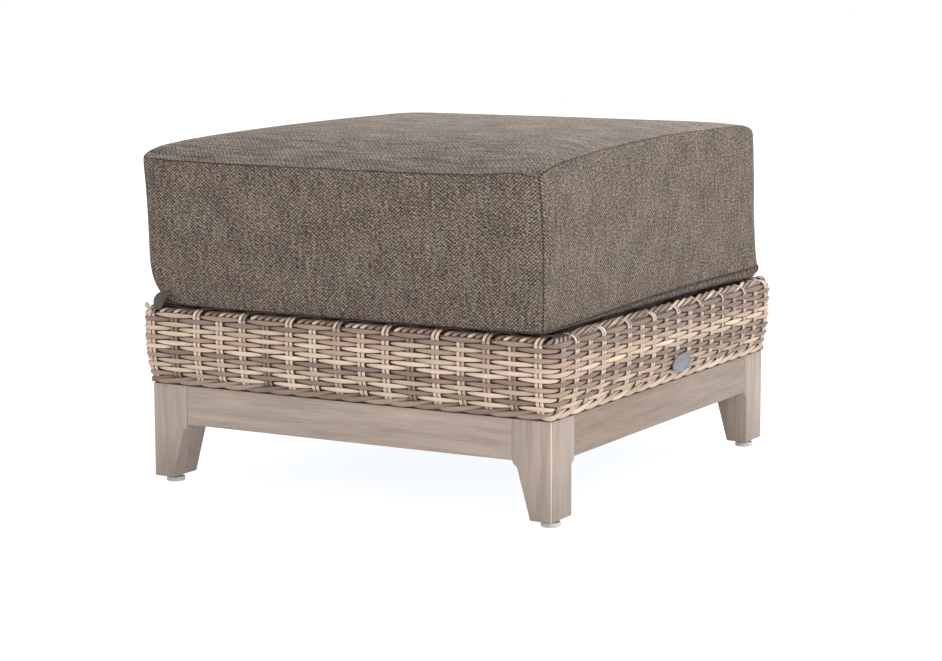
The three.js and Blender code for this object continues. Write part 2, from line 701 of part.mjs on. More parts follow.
// One ring of points round the cushion, as offsets from its middle.
function cushionOutline(ring, wall, sideSteps) {
  const radius = Math.max(CUSHION_CORNER_RADIUS - wall, COVER_WALL);
  const halves = [0, 1].map((axis) => {
    const open = SEAT_HALVES[axis] - CUSHION_HALVES[axis];
    return CUSHION_HALVES[axis] + ring.seat * open - ring.inset - wall;
  });
  const points = [];
  for (let quarter = 0; quarter < 4; quarter++) {
    const along = halves[quarter % 2] - radius;
    const across = halves[(quarter + 1) % 2];
    const flat = [];
    for (let step = 0; step < sideSteps; step++) {
      const share = step / sideSteps;
      const pull = ring.draw * CUSHION_DRAW_IN * (1 - (2 * share - 1) ** 2);
      flat.push([along * (2 * share - 1), -(across - pull)]);
    }
    for (let step = 0; step < CUSHION_CORNER_STEPS; step++) {
      const angle = (step / CUSHION_CORNER_STEPS) * (Math.PI / 2);
      flat.push([along + radius * Math.sin(angle), -(across - radius + radius * Math.cos(angle))]);
    }
    for (const [u, v] of flat) {
      points.push(turnQuarter(u, v, quarter));
    }
  }
  return points;
}

function turnQuarter(u, v, quarter) {
  const turned = [
    [u, v],
    [-v, u],
    [-u, -v],
    [v, -u],
  ];
  return turned[quarter];
}

function cushionSolid(wall, rings, sideSteps) {
  const [halfX, halfY] = CUSHION_HALVES;
  const loops = rings.map((ring) =>
    cushionOutline(ring, wall, sideSteps).map(([x, y]) => {
      const nearFront = Math.max(1 - (y + halfY) / CUSHION_FRONT_ROLL_SPAN, 0) ** 2;
      const nearCorner = Math.abs((x * y) / (halfX * halfY)) ** 5;
      const z =
        ring.z -
        ring.up * wall -
        ring.roll * CUSHION_FRONT_ROLL * nearFront +
        ring.lift * CUSHION_CORNER_LIFT * nearCorner;
      return [x + CUSHION_SHIFT_X, y + CUSHION_SHIFT_Y, z];
    }),
  );
  return toSolid(loft(loops, loops[0], loops[loops.length - 1]));
}

const rings = cushionRings();
const plainRings = rings.filter((ring) => ring.inner);
const backFace = CUSHION_SHIFT_Y + CUSHION_DEPTH / 2;

function coverGeometry() {
  const slitHalf = ZIP_LENGTH / 2 - ZIP_END_MARGIN;
  const slit = boxBetween(
    [CUSHION_SHIFT_X - slitHalf, backFace - COVER_WALL - SEAT_GAP, BOXING_MIDDLE - ZIP_SLIT_HEIGHT / 2],
    [CUSHION_SHIFT_X + slitHalf, backFace + OVERRUN, BOXING_MIDDLE + ZIP_SLIT_HEIGHT / 2],
  );
  const outer = cushionSolid(0, rings, CUSHION_SIDE_STEPS);
  const cavity = cushionSolid(COVER_WALL, plainRings, CAVITY_SIDE_STEPS);
  return toGeometry(outer.subtract(cavity).subtract(toSolid(slit)));
}

addPiece("cushion_cover", coverGeometry(), cushionFabric());
addPiece(
  "cushion_core",
  toGeometry(cushionSolid(COVER_WALL + SEAT_GAP, plainRings, CAVITY_SIDE_STEPS)),
  cushionFoam(),
);

// Zip: tape with its chain, a slider astride the chain, and a pull in the slider's bridge

const TAPE_BACK = backFace + SEAT_GAP;
const TAPE_FACE = TAPE_BACK + ZIP_TAPE_THICKNESS;
const CHAIN_FACE = TAPE_FACE + ZIP_CHAIN_THICKNESS;
const SLIDER_BACK = TAPE_FACE + SEAT_GAP;
const SLIDER_FACE = SLIDER_BACK + SLIDER_THICKNESS;
const BAR_MIDDLE = SLIDER_FACE + (BRIDGE_RISE - BRIDGE_BAR) / 2;
const SLIDER_X = CUSHION_SHIFT_X + ZIP_LENGTH / 2 - ZIP_END_MARGIN - SLIDER_LENGTH;

function zipTapeGeometry() {
  const tall = ZIP_TAPE_HEIGHT / 2;
  const chain = ZIP_CHAIN_HEIGHT / 2;
  const section = [
    [TAPE_BACK, -tall],
    [TAPE_FACE, -tall],
    [TAPE_FACE, -chain],
    [CHAIN_FACE, -chain],
    [CHAIN_FACE, chain],
    [TAPE_FACE, chain],
    [TAPE_FACE, tall],
    [TAPE_BACK, tall],
  ];
  return extrudeAlongX(section, -ZIP_LENGTH / 2, ZIP_LENGTH / 2);
}

function zipSliderGeometry() {
  const tall = SLIDER_HEIGHT / 2;
  const channel = ZIP_CHAIN_HEIGHT / 2 + SEAT_GAP;
  const roof = CHAIN_FACE + SEAT_GAP;
  const section = [
    [SLIDER_BACK, -tall],
    [SLIDER_FACE - SLIDER_BEVEL, -tall],
    [SLIDER_FACE, -tall + SLIDER_BEVEL],
    [SLIDER_FACE, tall - SLIDER_BEVEL],
    [SLIDER_FACE - SLIDER_BEVEL, tall],
    [SLIDER_BACK, tall],
    [SLIDER_BACK, channel],
    [roof, channel],
    [roof, -channel],
    [SLIDER_BACK, -channel],
  ];
  const body = toSolid(extrudeAlongX(section, -SLIDER_LENGTH / 2, SLIDER_LENGTH / 2));
  const bridge = boxBetween(
    [-BRIDGE_LENGTH / 2, SLIDER_FACE - SLIDER_BEVEL / 2, -BRIDGE_WIDTH / 2],
    [BRIDGE_LENGTH / 2, SLIDER_FACE + BRIDGE_RISE, BRIDGE_WIDTH / 2],
  );
  const window = boxBetween(
    [-BRIDGE_LENGTH / 2 + BRIDGE_BAR, SLIDER_FACE, -BRIDGE_WIDTH],
    [BRIDGE_LENGTH / 2 - BRIDGE_BAR, SLIDER_FACE + BRIDGE_RISE - BRIDGE_BAR, BRIDGE_WIDTH],
  );
  return toGeometry(body.add(toSolid(bridge)).subtract(toSolid(window)));
}

// The pull lies flat against the tape, with the bar of its eye inside the bridge.
function zipPullGeometry() {
  const half = PULL_WIDTH / 2;
  const start = -PULL_BAR / 2;
  const end = start + PULL_LENGTH;
  const shape = polygonShape([
    [start, -half],
    [end - half / 2, -half],
    [end, -half / 2],
    [end, half / 2],
    [end - half / 2, half],
    [start, half],
  ]);
  const eye = [
    [PULL_BAR / 2, -PULL_EYE_WIDTH / 2],
    [PULL_BAR / 2, PULL_EYE_WIDTH / 2],
    [PULL_BAR / 2 + PULL_EYE_LENGTH, PULL_EYE_WIDTH / 2],
    [PULL_BAR / 2 + PULL_EYE_LENGTH, -PULL_EYE_WIDTH / 2],
  ];
  shape.holes.push(new THREE.Path(eye.map(([u, v]) => new THREE.Vector2(u, v))));
  return new THREE.ExtrudeGeometry(shape, { depth: PULL_THICKNESS, bevelEnabled: false })
    .rotateX(Math.PI / 2)
    .translate(0, PULL_THICKNESS / 2, 0);
}

addPiece("zip_tape", zipTapeGeometry(), darkWebbing(), (mesh) =>
  mesh.position.set(CUSHION_SHIFT_X, 0, BOXING_MIDDLE),
);
addPiece("zip_slider", zipSliderGeometry(), zincSteel(), (mesh) =>
  mesh.position.set(SLIDER_X, 0, BOXING_MIDDLE),
);
addPiece("zip_pull", zipPullGeometry(), zincSteel(), (mesh) =>
  mesh.position.set(SLIDER_X, BAR_MIDDLE, BOXING_MIDDLE),
);

// Webbing loops: out from the lower seam at a corner, down, and back under the cushion

// A strip of even thickness along a line of points, as a closed outline.
function stripOutline(line, thickness) {
  const near = [];
  const far = [];
  line.forEach(([u, v], i) => {
    const before = line[Math.max(i - 1, 0)];
    const after = line[Math.min(i + 1, line.length - 1)];
    const run = new THREE.Vector2(after[0] - before[0], after[1] - before[1]).normalize();
    near.push([u - (run.y * thickness) / 2, v + (run.x * thickness) / 2]);
    far.push([u + (run.y * thickness) / 2, v - (run.x * thickness) / 2]);
  });
  return [...near, ...far.reverse()];
}

function strapGeometry() {
  const top = LOW_SEAM_Z + STRAP_TOP;
  const drop = top - (RIM_TOP + SEAT_GAP + STRAP_THICKNESS / 2);
  const lead = SEAT_GAP + STRAP_THICKNESS / 2;
  const lineShares = [
    [0, 0, 0],
    [0.45, 0, 0.12],
    [0.9, 0, 0.38],
    [0.98, 0, 0.66],
    [0.6, 0, 0.92],
    [0, 0.1, 1],
    [0, 0.5, 1],
    [0, 1, 1],
  ];
  const line = lineShares.map(([bulge, tail, fall]) => [
    lead + STRAP_BULGE * bulge - STRAP_TAIL * tail,
    top - drop * fall,
  ]);
  return extrudeAlongY(stripOutline(line, STRAP_THICKNESS), -STRAP_WIDTH / 2, STRAP_WIDTH / 2);
}

const strapCorners = [
  { name: "front_left", sx: -1, sy: -1 },
  { name: "back_right", sx: 1, sy: 1 },
];
for (const { name, sx, sy } of strapCorners) {
  addPiece(`strap_${name}`, strapGeometry(), darkWebbing(), (mesh) => {
    const inward = CUSHION_CORNER_RADIUS * (1 - Math.SQRT1_2) + CUSHION_HEM_INSET;
    mesh.position.set(
      CUSHION_SHIFT_X + sx * (CUSHION_WIDTH / 2 - inward),
      CUSHION_SHIFT_Y + sy * (CUSHION_DEPTH / 2 - inward),
      0,
    );
    mesh.rotation.z = Math.atan2(sy, sx);
  });
}

export default ottoman;
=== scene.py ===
"""Outdoor ottoman footstool: woven wicker skirt on taupe aluminium legs, with a boxed seat cushion."""
import json
import math

import bpy
import numpy as np
from bpy.props import FloatProperty, FloatVectorProperty, IntProperty, PointerProperty
from mathutils import Matrix, Vector

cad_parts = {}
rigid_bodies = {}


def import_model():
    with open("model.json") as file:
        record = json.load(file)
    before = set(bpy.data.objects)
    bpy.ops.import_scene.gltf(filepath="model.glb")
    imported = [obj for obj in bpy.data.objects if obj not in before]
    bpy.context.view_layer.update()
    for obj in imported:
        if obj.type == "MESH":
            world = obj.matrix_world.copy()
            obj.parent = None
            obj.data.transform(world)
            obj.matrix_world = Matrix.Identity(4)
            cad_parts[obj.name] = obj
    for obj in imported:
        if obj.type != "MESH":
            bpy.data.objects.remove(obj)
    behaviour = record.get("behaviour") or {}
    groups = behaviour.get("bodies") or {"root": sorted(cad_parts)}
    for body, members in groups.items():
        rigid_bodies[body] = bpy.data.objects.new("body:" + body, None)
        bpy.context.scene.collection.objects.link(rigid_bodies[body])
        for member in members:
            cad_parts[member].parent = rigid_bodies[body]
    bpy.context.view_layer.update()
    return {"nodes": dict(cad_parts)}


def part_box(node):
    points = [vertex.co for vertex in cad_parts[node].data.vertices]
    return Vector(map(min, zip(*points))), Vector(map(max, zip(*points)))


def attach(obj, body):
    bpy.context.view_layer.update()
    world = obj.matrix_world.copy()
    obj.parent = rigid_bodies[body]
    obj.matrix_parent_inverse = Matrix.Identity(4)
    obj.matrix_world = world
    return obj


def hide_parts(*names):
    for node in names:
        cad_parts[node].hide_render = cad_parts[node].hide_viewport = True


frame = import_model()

bl_info = {
    "name": "Wicker ottoman",
    "version": (1, 0, 0),
    "blender": (4, 5, 0),
    "location": "3D View > Sidebar > Ottoman",
    "description": "Builds the visible pieces of a woven garden ottoman with a seat cushion",
    "category": "Add Mesh",
}

MM = 0.001
SIDES = ("front", "right", "back", "left")
CORNERS = ("front_left", "front_right", "back_right", "back_left")


def linear(hex_colour):
    """The linear RGB of an sRGB hex colour."""
    parts = [int(hex_colour[i : i + 2], 16) / 255 for i in (1, 3, 5)]
    return tuple(c / 12.92 if c <= 0.04045 else ((c + 0.055) / 1.055) ** 2.4 for c in parts)


# ---------------------------------------------------------------- what a user may change


def length(name, description, default):
    """A length property, given in millimetres and kept in metres."""
    return FloatProperty(
        name=name, description=description, default=default * MM, precision=5, unit="LENGTH", subtype="DISTANCE"
    )


def power(name, description, default):
    """A lamp's power property, in watts."""
    return FloatProperty(name=name, description=description, default=default, unit="POWER")


def colour(name, description, default):
    """A colour property, given as sRGB hex and kept linear."""
    return FloatVectorProperty(
        name=name, description=description, default=linear(default), min=0, max=1, subtype="COLOR"
    )


class OttomanWicker(bpy.types.PropertyGroup):
    """Sizes and colours of the woven skirt."""

    row_pitch: length("Row pitch", "Height from one woven row to the next", 6.08)
    first_row: length("First row", "Height of the lowest woven row", 151.5)
    rows: IntProperty(name="Rows", description="Woven rows, one above the other", default=14)
    strand_half_width: length("Strand half width", "Half the height of a woven strand at its widest", 3.3)
    strand_half_depth: length("Strand half depth", "Half the thickness of a woven strand", 2.0)
    stake_half_width: length("Stake half width", "Half the width of an upright strand", 2.75)
    stake_spread: length("Stake spread", "From the middle of a pair to the middle of either strand", 3.05)
    cream: colour("Cream", "Lightest strands", "#F6E4D2")
    tan: colour("Tan", "Middle strands", "#C7B09E")
    taupe: colour("Taupe", "Pinkish grey strands", "#A28D81")
    grey: colour("Grey brown", "Darkest strands", "#87756B")
    # Colour that the weave's painted shade is mixed toward.
    painted_shade: colour("Hollow", "Shade where strands sink behind each other", "#36261D")


class OttomanCushion(bpy.types.PropertyGroup):
    """Sizes and colours of the seat cushion."""

    corner_radius: length("Corner radius", "Rounding of the upright corners", 9)
    top_puff: length("Top puff", "Furthest that the filling lifts the top", 4)
    side_puff: length("Side puff", "Furthest that the filling pushes a side out", 4)
    pressure: FloatProperty(name="Pressure", description="Air pressure while the cover fills", default=4.0)
    seam_width: length("Seam width", "Width of the shadow line along a seam", 2.0)
    yarn_dark: colour("Dark yarn", "Darker yarn of the melange", "#352D28")
    yarn_middle: colour("Middle yarn", "Yarn that the eye sees from afar", "#70655D")
    yarn_light: colour("Light yarn", "Lighter yarn of the melange", "#AFA499")


class OttomanFrame(bpy.types.PropertyGroup):
    """Finish of the legs, aprons and inner frame."""

    edge_round: length("Edge rounding", "Rounding of the cut edges of legs and aprons", 1.4)
    paint: colour("Paint", "Taupe powder coat", "#C3B2A5")
    paint_dark: colour("Paint streak", "Darker streaks of the coat", "#A49286")
    # Bright outer corner of the legs: rubbed paint with a painted highlight.
    paint_wear_and_highlight: colour("Worn paint", "Bright rubbed edge", "#FBE9DA")


class OttomanStage(bpy.types.PropertyGroup):
    """Lights, floor and backdrop."""

    key_power: power("Key light", "Power of the light overhead", 25.0)
    side_power: power("Side light", "Power of the light on the right", 10.0)
    world_strength: FloatProperty(name="Surroundings", description="Strength of the even light", default=0.84)


GROUPS = {
    "ottoman_wicker": OttomanWicker,
    "ottoman_cushion": OttomanCushion,
    "ottoman_frame": OttomanFrame,
    "ottoman_stage": OttomanStage,
}


# ---------------------------------------------------------------- nodes and materials


def add(tree, kind, inputs=None, stops=None, **settings):
    """Adds one shader node: sockets or nodes among the inputs are linked, anything else is set."""
    made = tree.nodes.new("ShaderNode" + kind)
    for name, value in settings.items():
        setattr(made, name, value)
    for name, value in (inputs or {}).items():
        socket = made.inputs[name]
        if isinstance(value, bpy.types.Node):
            value = next(output for output in value.outputs if output.enabled)
        if isinstance(value, bpy.types.NodeSocket):
            tree.links.new(value, socket)
        elif socket.type == "RGBA":
            socket.default_value = (*value[:3], 1.0)
        else:
            socket.default_value = value
    if stops:
        while len(made.color_ramp.elements) < len(stops):
            made.color_ramp.elements.new(1.0)
        for element, (place, tint) in zip(made.color_ramp.elements, stops):
            element.position = place
            element.color = (*tint, 1.0)
    return made


BLENDED = {"data_type": "RGBA"}  # settings of a Mix node that blends two colours
SHADED = {"data_type": "RGBA", "blend_type": "MULTIPLY"}  # and of one that multiplies them


def start_material(name):
    """A new material and its empty node tree."""
    material = bpy.data.materials.new(name)
    material.use_nodes = True
    tree = material.node_tree
    tree.nodes.clear()
    return material, tree


def finish_material(tree, base, height=None, bump_strength=0.3, bump_distance=0.0004, roughness=0.5, **sockets):
    """Joins a colour, a height and constant sockets to one surface shader."""
    inputs = {"Base Color": base, "Roughness": roughness}
    inputs.update({name.replace("_", " "): value for name, value in sockets.items()})
    if height is not None:
        bump = add(tree, "Bump", {"Height": height, "Strength": bump_strength, "Distance": bump_distance})
        inputs["Normal"] = bump
    shader = add(tree, "BsdfPrincipled", inputs)
    add(tree, "OutputMaterial", {"Surface": shader})


def wicker_material(settings):
    """Polyethylene wicker strand, extruded flat with a combed grain: a soft waxy face with fine streaks."""
    material, tree = start_material("Polyethylene wicker strand")
    tone = add(tree, "Attribute", attribute_name="tone", attribute_type="GEOMETRY").outputs["Fac"]
    grain = add(tree, "Attribute", attribute_name="grain", attribute_type="GEOMETRY").outputs["Vector"]
    # Streaks 0.7 mm across and about 30 mm long run down each strand.
    stretched = add(tree, "Mapping", {"Vector": grain, "Scale": (33, 1400, 1)})
    streaks = add(tree, "TexNoise", {"Vector": stretched, "Scale": 1.0, "Detail": 2.0, "Roughness": 0.6})
    # Slow shifts of shade along a strand, about 60 mm long.
    drift = add(tree, "Mapping", {"Vector": grain, "Scale": (16, 90, 1)})
    clouds = add(tree, "TexNoise", {"Vector": drift, "Scale": 1.0, "Detail": 1.0})
    shift = add(tree, "Math", {0: clouds, 1: 0.36, 2: -0.18}, operation="MULTIPLY_ADD")
    toned = add(tree, "Math", {0: tone, 1: shift}, operation="ADD", use_clamp=True)
    stops = [(0.0, settings.cream), (0.42, settings.tan), (0.72, settings.taupe), (1.0, settings.grey)]
    palette = add(tree, "ValToRGB", {"Fac": toned}, stops)
    light = add(tree, "MapRange", {"Value": streaks, "From Min": 0.3, "From Max": 0.7, "To Min": 0.8, "To Max": 1.15})
    base = add(tree, "Mix", {0: 1.0, 6: palette, 7: light}, **SHADED)
    # Each strand leans to a pink or to a straw shade of its tone.
    drawn = add(tree, "SeparateXYZ", {"Vector": grain}).outputs["Z"]
    lot = add(tree, "TexWhiteNoise", {"W": drawn}, noise_dimensions="1D").outputs["Value"]
    leaning = add(tree, "Mix", {0: lot, 6: linear("#FFF6F5"), 7: linear("#FCFAEE")}, **BLENDED)
    base = add(tree, "Mix", {0: 1.0, 6: base, 7: leaning}, **SHADED)
    # Painted shade: the colour goes toward the shade colour along a strand's edges, where it sinks behind its
    # neighbours, and under the cushion.
    painted_shade_share = add(tree, "Attribute", attribute_name="painted_shade", attribute_type="GEOMETRY").outputs["Fac"]
    painted_shade_share = add(tree, "Math", {0: painted_shade_share, 1: 0.9}, operation="MULTIPLY")
    base = add(tree, "Mix", {0: painted_shade_share, 6: base, 7: settings.painted_shade}, **BLENDED)
    finish_material(tree, base, streaks, 0.25, 0.0004, 0.46)
    return material


# The panels of the cover lie side by side in its map, a strip 3 m apart: where the middles of two of them are, across.
PANEL_STEP = 3.0
FRONT_STRIP = 2 * PANEL_STEP
TOP_STRIP = 5 * PANEL_STEP


def fabric_material(settings):
    """Solution-dyed acrylic, woven as a melange twill: dark and pale yarns, diagonal ribs and slubs."""
    material, tree = start_material("Acrylic melange twill")
    uv = add(tree, "UVMap", uv_map="panel").outputs[0]
    seam = add(tree, "Attribute", attribute_name="seam", attribute_type="GEOMETRY").outputs["Fac"]
    # Twill ribs 3.7 mm apart: the real ones are 2.7 mm, too fine to show clearly at this size.
    turned = add(tree, "Mapping", {"Vector": uv, "Rotation": (0, 0, math.radians(42))})
    wave = {"Vector": turned, "Scale": 85.0, "Distortion": 1.6, "Detail": 2.0, "Detail Scale": 0.9}
    ribs = add(tree, "TexWave", wave, bands_direction="X").outputs["Fac"]
    # The fainter rib that crosses it, 4.5 mm apart.
    crossed = add(tree, "Mapping", {"Vector": uv, "Rotation": (0, 0, math.radians(-50))})
    wave = {"Vector": crossed, "Scale": 70.0, "Distortion": 2.2, "Detail": 2.0, "Detail Scale": 0.9}
    cross_ribs = add(tree, "TexWave", wave, bands_direction="X").outputs["Fac"]
    # Yarn ends about 2.5 mm wide and 3.2 mm long, coarser than the real ones too, each pale, middling or dark.
    yarn_map = add(tree, "Mapping", {"Vector": turned, "Scale": (400, 310, 1)})
    yarns = add(tree, "TexNoise", {"Vector": yarn_map, "Scale": 1.0, "Detail": 1.0, "Roughness": 0.7})
    # Slubs: thicker yarns 5 mm wide that run on for about 40 mm.
    slub_map = add(tree, "Mapping", {"Vector": uv, "Scale": (190, 24, 1)})
    slubs = add(tree, "TexNoise", {"Vector": slub_map, "Scale": 1.0, "Detail": 1.0})
    # Cloudy shade, some 50 mm across.
    clouds = add(tree, "TexNoise", {"Vector": uv, "Scale": 20.0, "Detail": 2.0})
    # Knots in the yarn, 5 by 3 mm, which keep the cloth lively where it is seen at a slant.
    knot_map = add(tree, "Mapping", {"Vector": uv, "Location": (3, 5, 0), "Scale": (190, 320, 1)})
    knots = add(tree, "TexNoise", {"Vector": knot_map, "Scale": 1.0, "Detail": 1.0, "Roughness": 0.6})
    # On the top panel alone, thick yarns 9 mm wide and 70 mm long run from side to side.
    across = add(tree, "SeparateXYZ", {"Vector": uv}).outputs["X"]
    on_top = add(tree, "Math", {0: across, 1: TOP_STRIP - 1}, operation="GREATER_THAN")
    bar_map = add(tree, "Mapping", {"Vector": uv, "Location": (2, 9, 0), "Scale": (110, 15, 1)})
    bars = add(tree, "TexNoise", {"Vector": bar_map, "Scale": 1.0, "Detail": 2.0, "Roughness": 0.6})
    bars = add(tree, "Mix", {0: on_top, 2: 0.5, 3: bars}, data_type="FLOAT")
    total = add(tree, "Math", {0: ribs, 1: 0.42, 2: 0.29}, operation="MULTIPLY_ADD")
    for pattern, weight in (
        (cross_ribs, 0.25), (yarns, 1.6), (slubs, 0.5), (clouds, 0.35), (knots, 1.25), (bars, 1.0)
    ):
        part = add(tree, "Math", {0: pattern, 1: weight, 2: -weight / 2}, operation="MULTIPLY_ADD")
        total = add(tree, "Math", {0: total, 1: part}, operation="ADD")
    stops = [(0.0, settings.yarn_dark), (0.5, settings.yarn_middle), (1.0, settings.yarn_light)]
    base = add(tree, "ValToRGB", {"Fac": total}, stops)
    # The dye wanders between a warm and a cool taupe, in patches some 30 by 80 mm.
    tint_map = add(tree, "Mapping", {"Vector": uv, "Location": (7, 3, 0), "Scale": (30, 12, 1)})
    tint = add(tree, "TexNoise", {"Vector": tint_map, "Scale": 1.0, "Detail": 1.0})
    cast = add(tree, "Mix", {0: tint, 6: linear("#FFF2EC"), 7: linear("#F1F4F0")}, **BLENDED)
    # Painted shade: the front panel is a touch darker, as its twill would look turned away from the light.
    on_front = add(tree, "Math", {0: across, 1: FRONT_STRIP, 2: 1.0}, operation="COMPARE")
    shade = add(tree, "MapRange", {"Value": on_front, "To Min": 1.0, "To Max": 0.99})
    # Painted light on the top: lighter toward the back and darker along its front.
    span = {"From Min": TOP_STRIP - 0.32, "From Max": TOP_STRIP + 0.3, "To Min": 0.89, "To Max": 1.3}
    painted_top_light = add(tree, "MapRange", {"Value": across, **span})
    painted_top_light = add(tree, "Mix", {0: on_top, 2: 1.0, 3: painted_top_light}, data_type="FLOAT")
    # A shadow lies in each seam.
    width = settings.seam_width
    line = add(tree, "MapRange", {"Value": seam, "From Min": width * 0.4, "From Max": width, "To Min": 0.45})
    for layer in (cast, shade, painted_top_light, line):
        base = add(tree, "Mix", {0: 1.0, 6: base, 7: layer}, **SHADED)
    height = add(tree, "Math", {0: ribs, 1: yarns}, operation="ADD")
    sockets = {"Sheen_Weight": 0.06, "Sheen_Roughness": 0.5, "Specular_IOR_Level": 0.2}
    finish_material(tree, base, height, 0.35, 0.0005, 0.9, **sockets)
    return material


def paint_material(settings, name, along, wear_and_highlight=False):
    """Powder coat with a brushed glaze over cast aluminium: fine streaks that look like limed wood."""
    material, tree = start_material(name)
    place = add(tree, "TexCoord").outputs["Object"]
    # Streaks 1.6 mm across that run on for about 50 mm, over broad ones 11 mm across and 140 mm long.
    fine_scale, broad_scale = [620, 620, 620], [90, 90, 90]
    fine_scale[along], broad_scale[along] = 20, 7
    stretched = add(tree, "Mapping", {"Vector": place, "Scale": fine_scale})
    streaks = add(tree, "TexNoise", {"Vector": stretched, "Scale": 1.0, "Detail": 3.0, "Roughness": 0.65})
    broad_map = add(tree, "Mapping", {"Vector": place, "Scale": broad_scale})
    broad = add(tree, "TexNoise", {"Vector": broad_map, "Scale": 1.0, "Detail": 2.0})
    sum_up = add(tree, "Math", {0: streaks, 1: broad}, operation="ADD")
    factor = add(tree, "MapRange", {"Value": sum_up, "From Min": 0.72, "From Max": 1.28, "To Min": 1.0, "To Max": 0.0})
    base = add(tree, "Mix", {0: factor, 6: settings.paint, 7: settings.paint_dark}, **BLENDED)
    # The bright outer corner of a leg: rubbed paint with a painted highlight.
    if wear_and_highlight:
        base = add(tree, "Mix", {0: 0.8, 6: base, 7: settings.paint_wear_and_highlight}, **BLENDED)
    if along == 2:
        # The upright pieces are darker toward the feet, below 75 mm.
        height = add(tree, "SeparateXYZ", {"Vector": place}).outputs["Z"]
        foot = add(tree, "MapRange", {"Value": height, "From Min": 0.01, "From Max": 0.075, "To Min": 0.8})
        base = add(tree, "Mix", {0: 1.0, 6: base, 7: foot}, **SHADED)
    elif along == 1:
        # Painted shade: the side aprons are a little darker, for the shade of the skirt above them.
        base = add(tree, "Mix", {0: 1.0, 6: base, 7: linear("#DCD6D0")}, **SHADED)
    finish_material(tree, base, streaks, 0.25, 0.0003, 0.48)
    return material


def plain_material(name, tint, second, scale, roughness, metallic=0.0, bump=0.2, stretch=(1, 1, 1), **sockets):
    """A finish of two close shades in a fine pattern; each caller names what the real surface is."""
    material, tree = start_material(name)
    place = add(tree, "TexCoord").outputs["Object"]
    mapping = add(tree, "Mapping", {"Vector": place, "Scale": tuple(scale * s for s in stretch)})
    pattern = add(tree, "TexNoise", {"Vector": mapping, "Scale": 1.0, "Detail": 3.0})
    factor = add(tree, "MapRange", {"Value": pattern, "From Min": 0.3, "From Max": 0.7})
    base = add(tree, "Mix", {0: factor, 6: linear(tint), 7: linear(second)}, **BLENDED)
    finish_material(tree, base, pattern, bump, 0.0003, roughness, Metallic=metallic, **sockets)
    return material


def webbing_material():
    """Polyester webbing, woven in a plain ribbed weave about 1.3 mm to the rib: dull and dark."""
    material, tree = start_material("Polyester webbing")
    place = add(tree, "TexCoord").outputs["Object"]
    first = add(tree, "TexWave", {"Vector": place, "Scale": 240.0, "Distortion": 1.0}, bands_direction="Z")
    second = add(tree, "TexWave", {"Vector": place, "Scale": 200.0, "Distortion": 1.0}, bands_direction="DIAGONAL")
    woven = add(tree, "Math", {0: first.outputs["Fac"], 1: second.outputs["Fac"]}, operation="MULTIPLY")
    specks = add(tree, "TexNoise", {"Vector": place, "Scale": 700.0, "Detail": 1.0})
    factor = add(tree, "Math", {0: woven, 1: specks}, operation="MULTIPLY")
    base = add(tree, "Mix", {0: factor, 6: linear("#4A443F"), 7: linear("#B4A99F")}, **BLENDED)
    finish_material(tree, base, woven, 0.6, 0.0006, 0.85)
    return material


MATERIALS = {}


def make_materials(scene):
    """All finishes of the object, by a short name."""
    wicker, cushion, framing = scene.ottoman_wicker, scene.ottoman_cushion, scene.ottoman_frame
    made = {
        "wicker": wicker_material(wicker),
        "fabric": fabric_material(cushion),
        "paint_x": paint_material(framing, "Brushed powder coat along X", 0),
        "paint_y": paint_material(framing, "Brushed powder coat along Y", 1),
        "paint_z": paint_material(framing, "Brushed powder coat upright", 2),
        # The bright outer corner of the legs: rubbed paint with a painted highlight.
        "paint_wear_and_highlight": paint_material(framing, "Rubbed powder coat edge", 2, wear_and_highlight=True),
        # Mill aluminium under a dark matt coat, as real frames have, seen only through the gaps of the weave; kept this
        # dark as painted shade, so that the gaps read as shadow.
        "tube": plain_material("Matt coated aluminium tube", "#2F2925", "#3B332E", 400, 0.6),
        # Turned nylon, milky and slightly waxy.
        "nylon": plain_material("Turned nylon", "#DAD3C9", "#EDE8E0", 250, 0.4, Subsurface_Weight=0.1),
        # Zinc plated steel with a faint yellow cast and fine turning marks.
        "zinc": plain_material("Zinc plated steel", "#A9A69C", "#C6C4BC", 900, 0.35, 1.0, 0.1),
        # Pewter, cast, brushed lengthwise and darkened in its hollows.
        "pewter": plain_material("Brushed cast pewter", "#6F7075", "#9D9EA3", 900, 0.42, 0.8, 0.25, (0.5, 0.06, 1)),
        # Open-cell polyurethane foam, cells about 1 mm.
        "foam": plain_material("Open-cell foam", "#D8CDB4", "#EFE6D0", 900, 0.95, 0.0, 0.8),
        "webbing": webbing_material(),
        # Acetal zip teeth, moulded and slightly glossy.
        "teeth": plain_material("Moulded acetal teeth", "#3A342F", "#4A433D", 700, 0.4),
    }
    MATERIALS.update(made)


# ---------------------------------------------------------------- modelling by operators


def clear_selection():
    """Object mode, with nothing selected."""
    if bpy.context.object and bpy.context.object.mode != "OBJECT":
        bpy.ops.object.mode_set(mode="OBJECT")
    bpy.ops.object.select_all(action="DESELECT")


def take(piece):
    """Selects one object alone and makes it active."""
    clear_selection()
    piece.select_set(True)
    bpy.context.view_layer.objects.active = piece
    return piece


def named(name):
    """Names the active object and its mesh."""
    piece = bpy.context.object
    piece.name = name
    piece.data.name = name
    return piece


def linked(name, data):
    """A new object in the scene for a mesh, a lamp or a camera."""
    made = bpy.data.objects.new(name, data)
    bpy.context.scene.collection.objects.link(made)
    return made


def edit_all(piece):
    """Edit mode, with the whole of one piece selected."""
    take(piece)
    bpy.ops.object.mode_set(mode="EDIT")
    bpy.ops.mesh.select_all(action="SELECT")


def leave_edit():
    """Back to object mode, which writes the edits to the mesh."""
    bpy.ops.object.mode_set(mode="OBJECT")


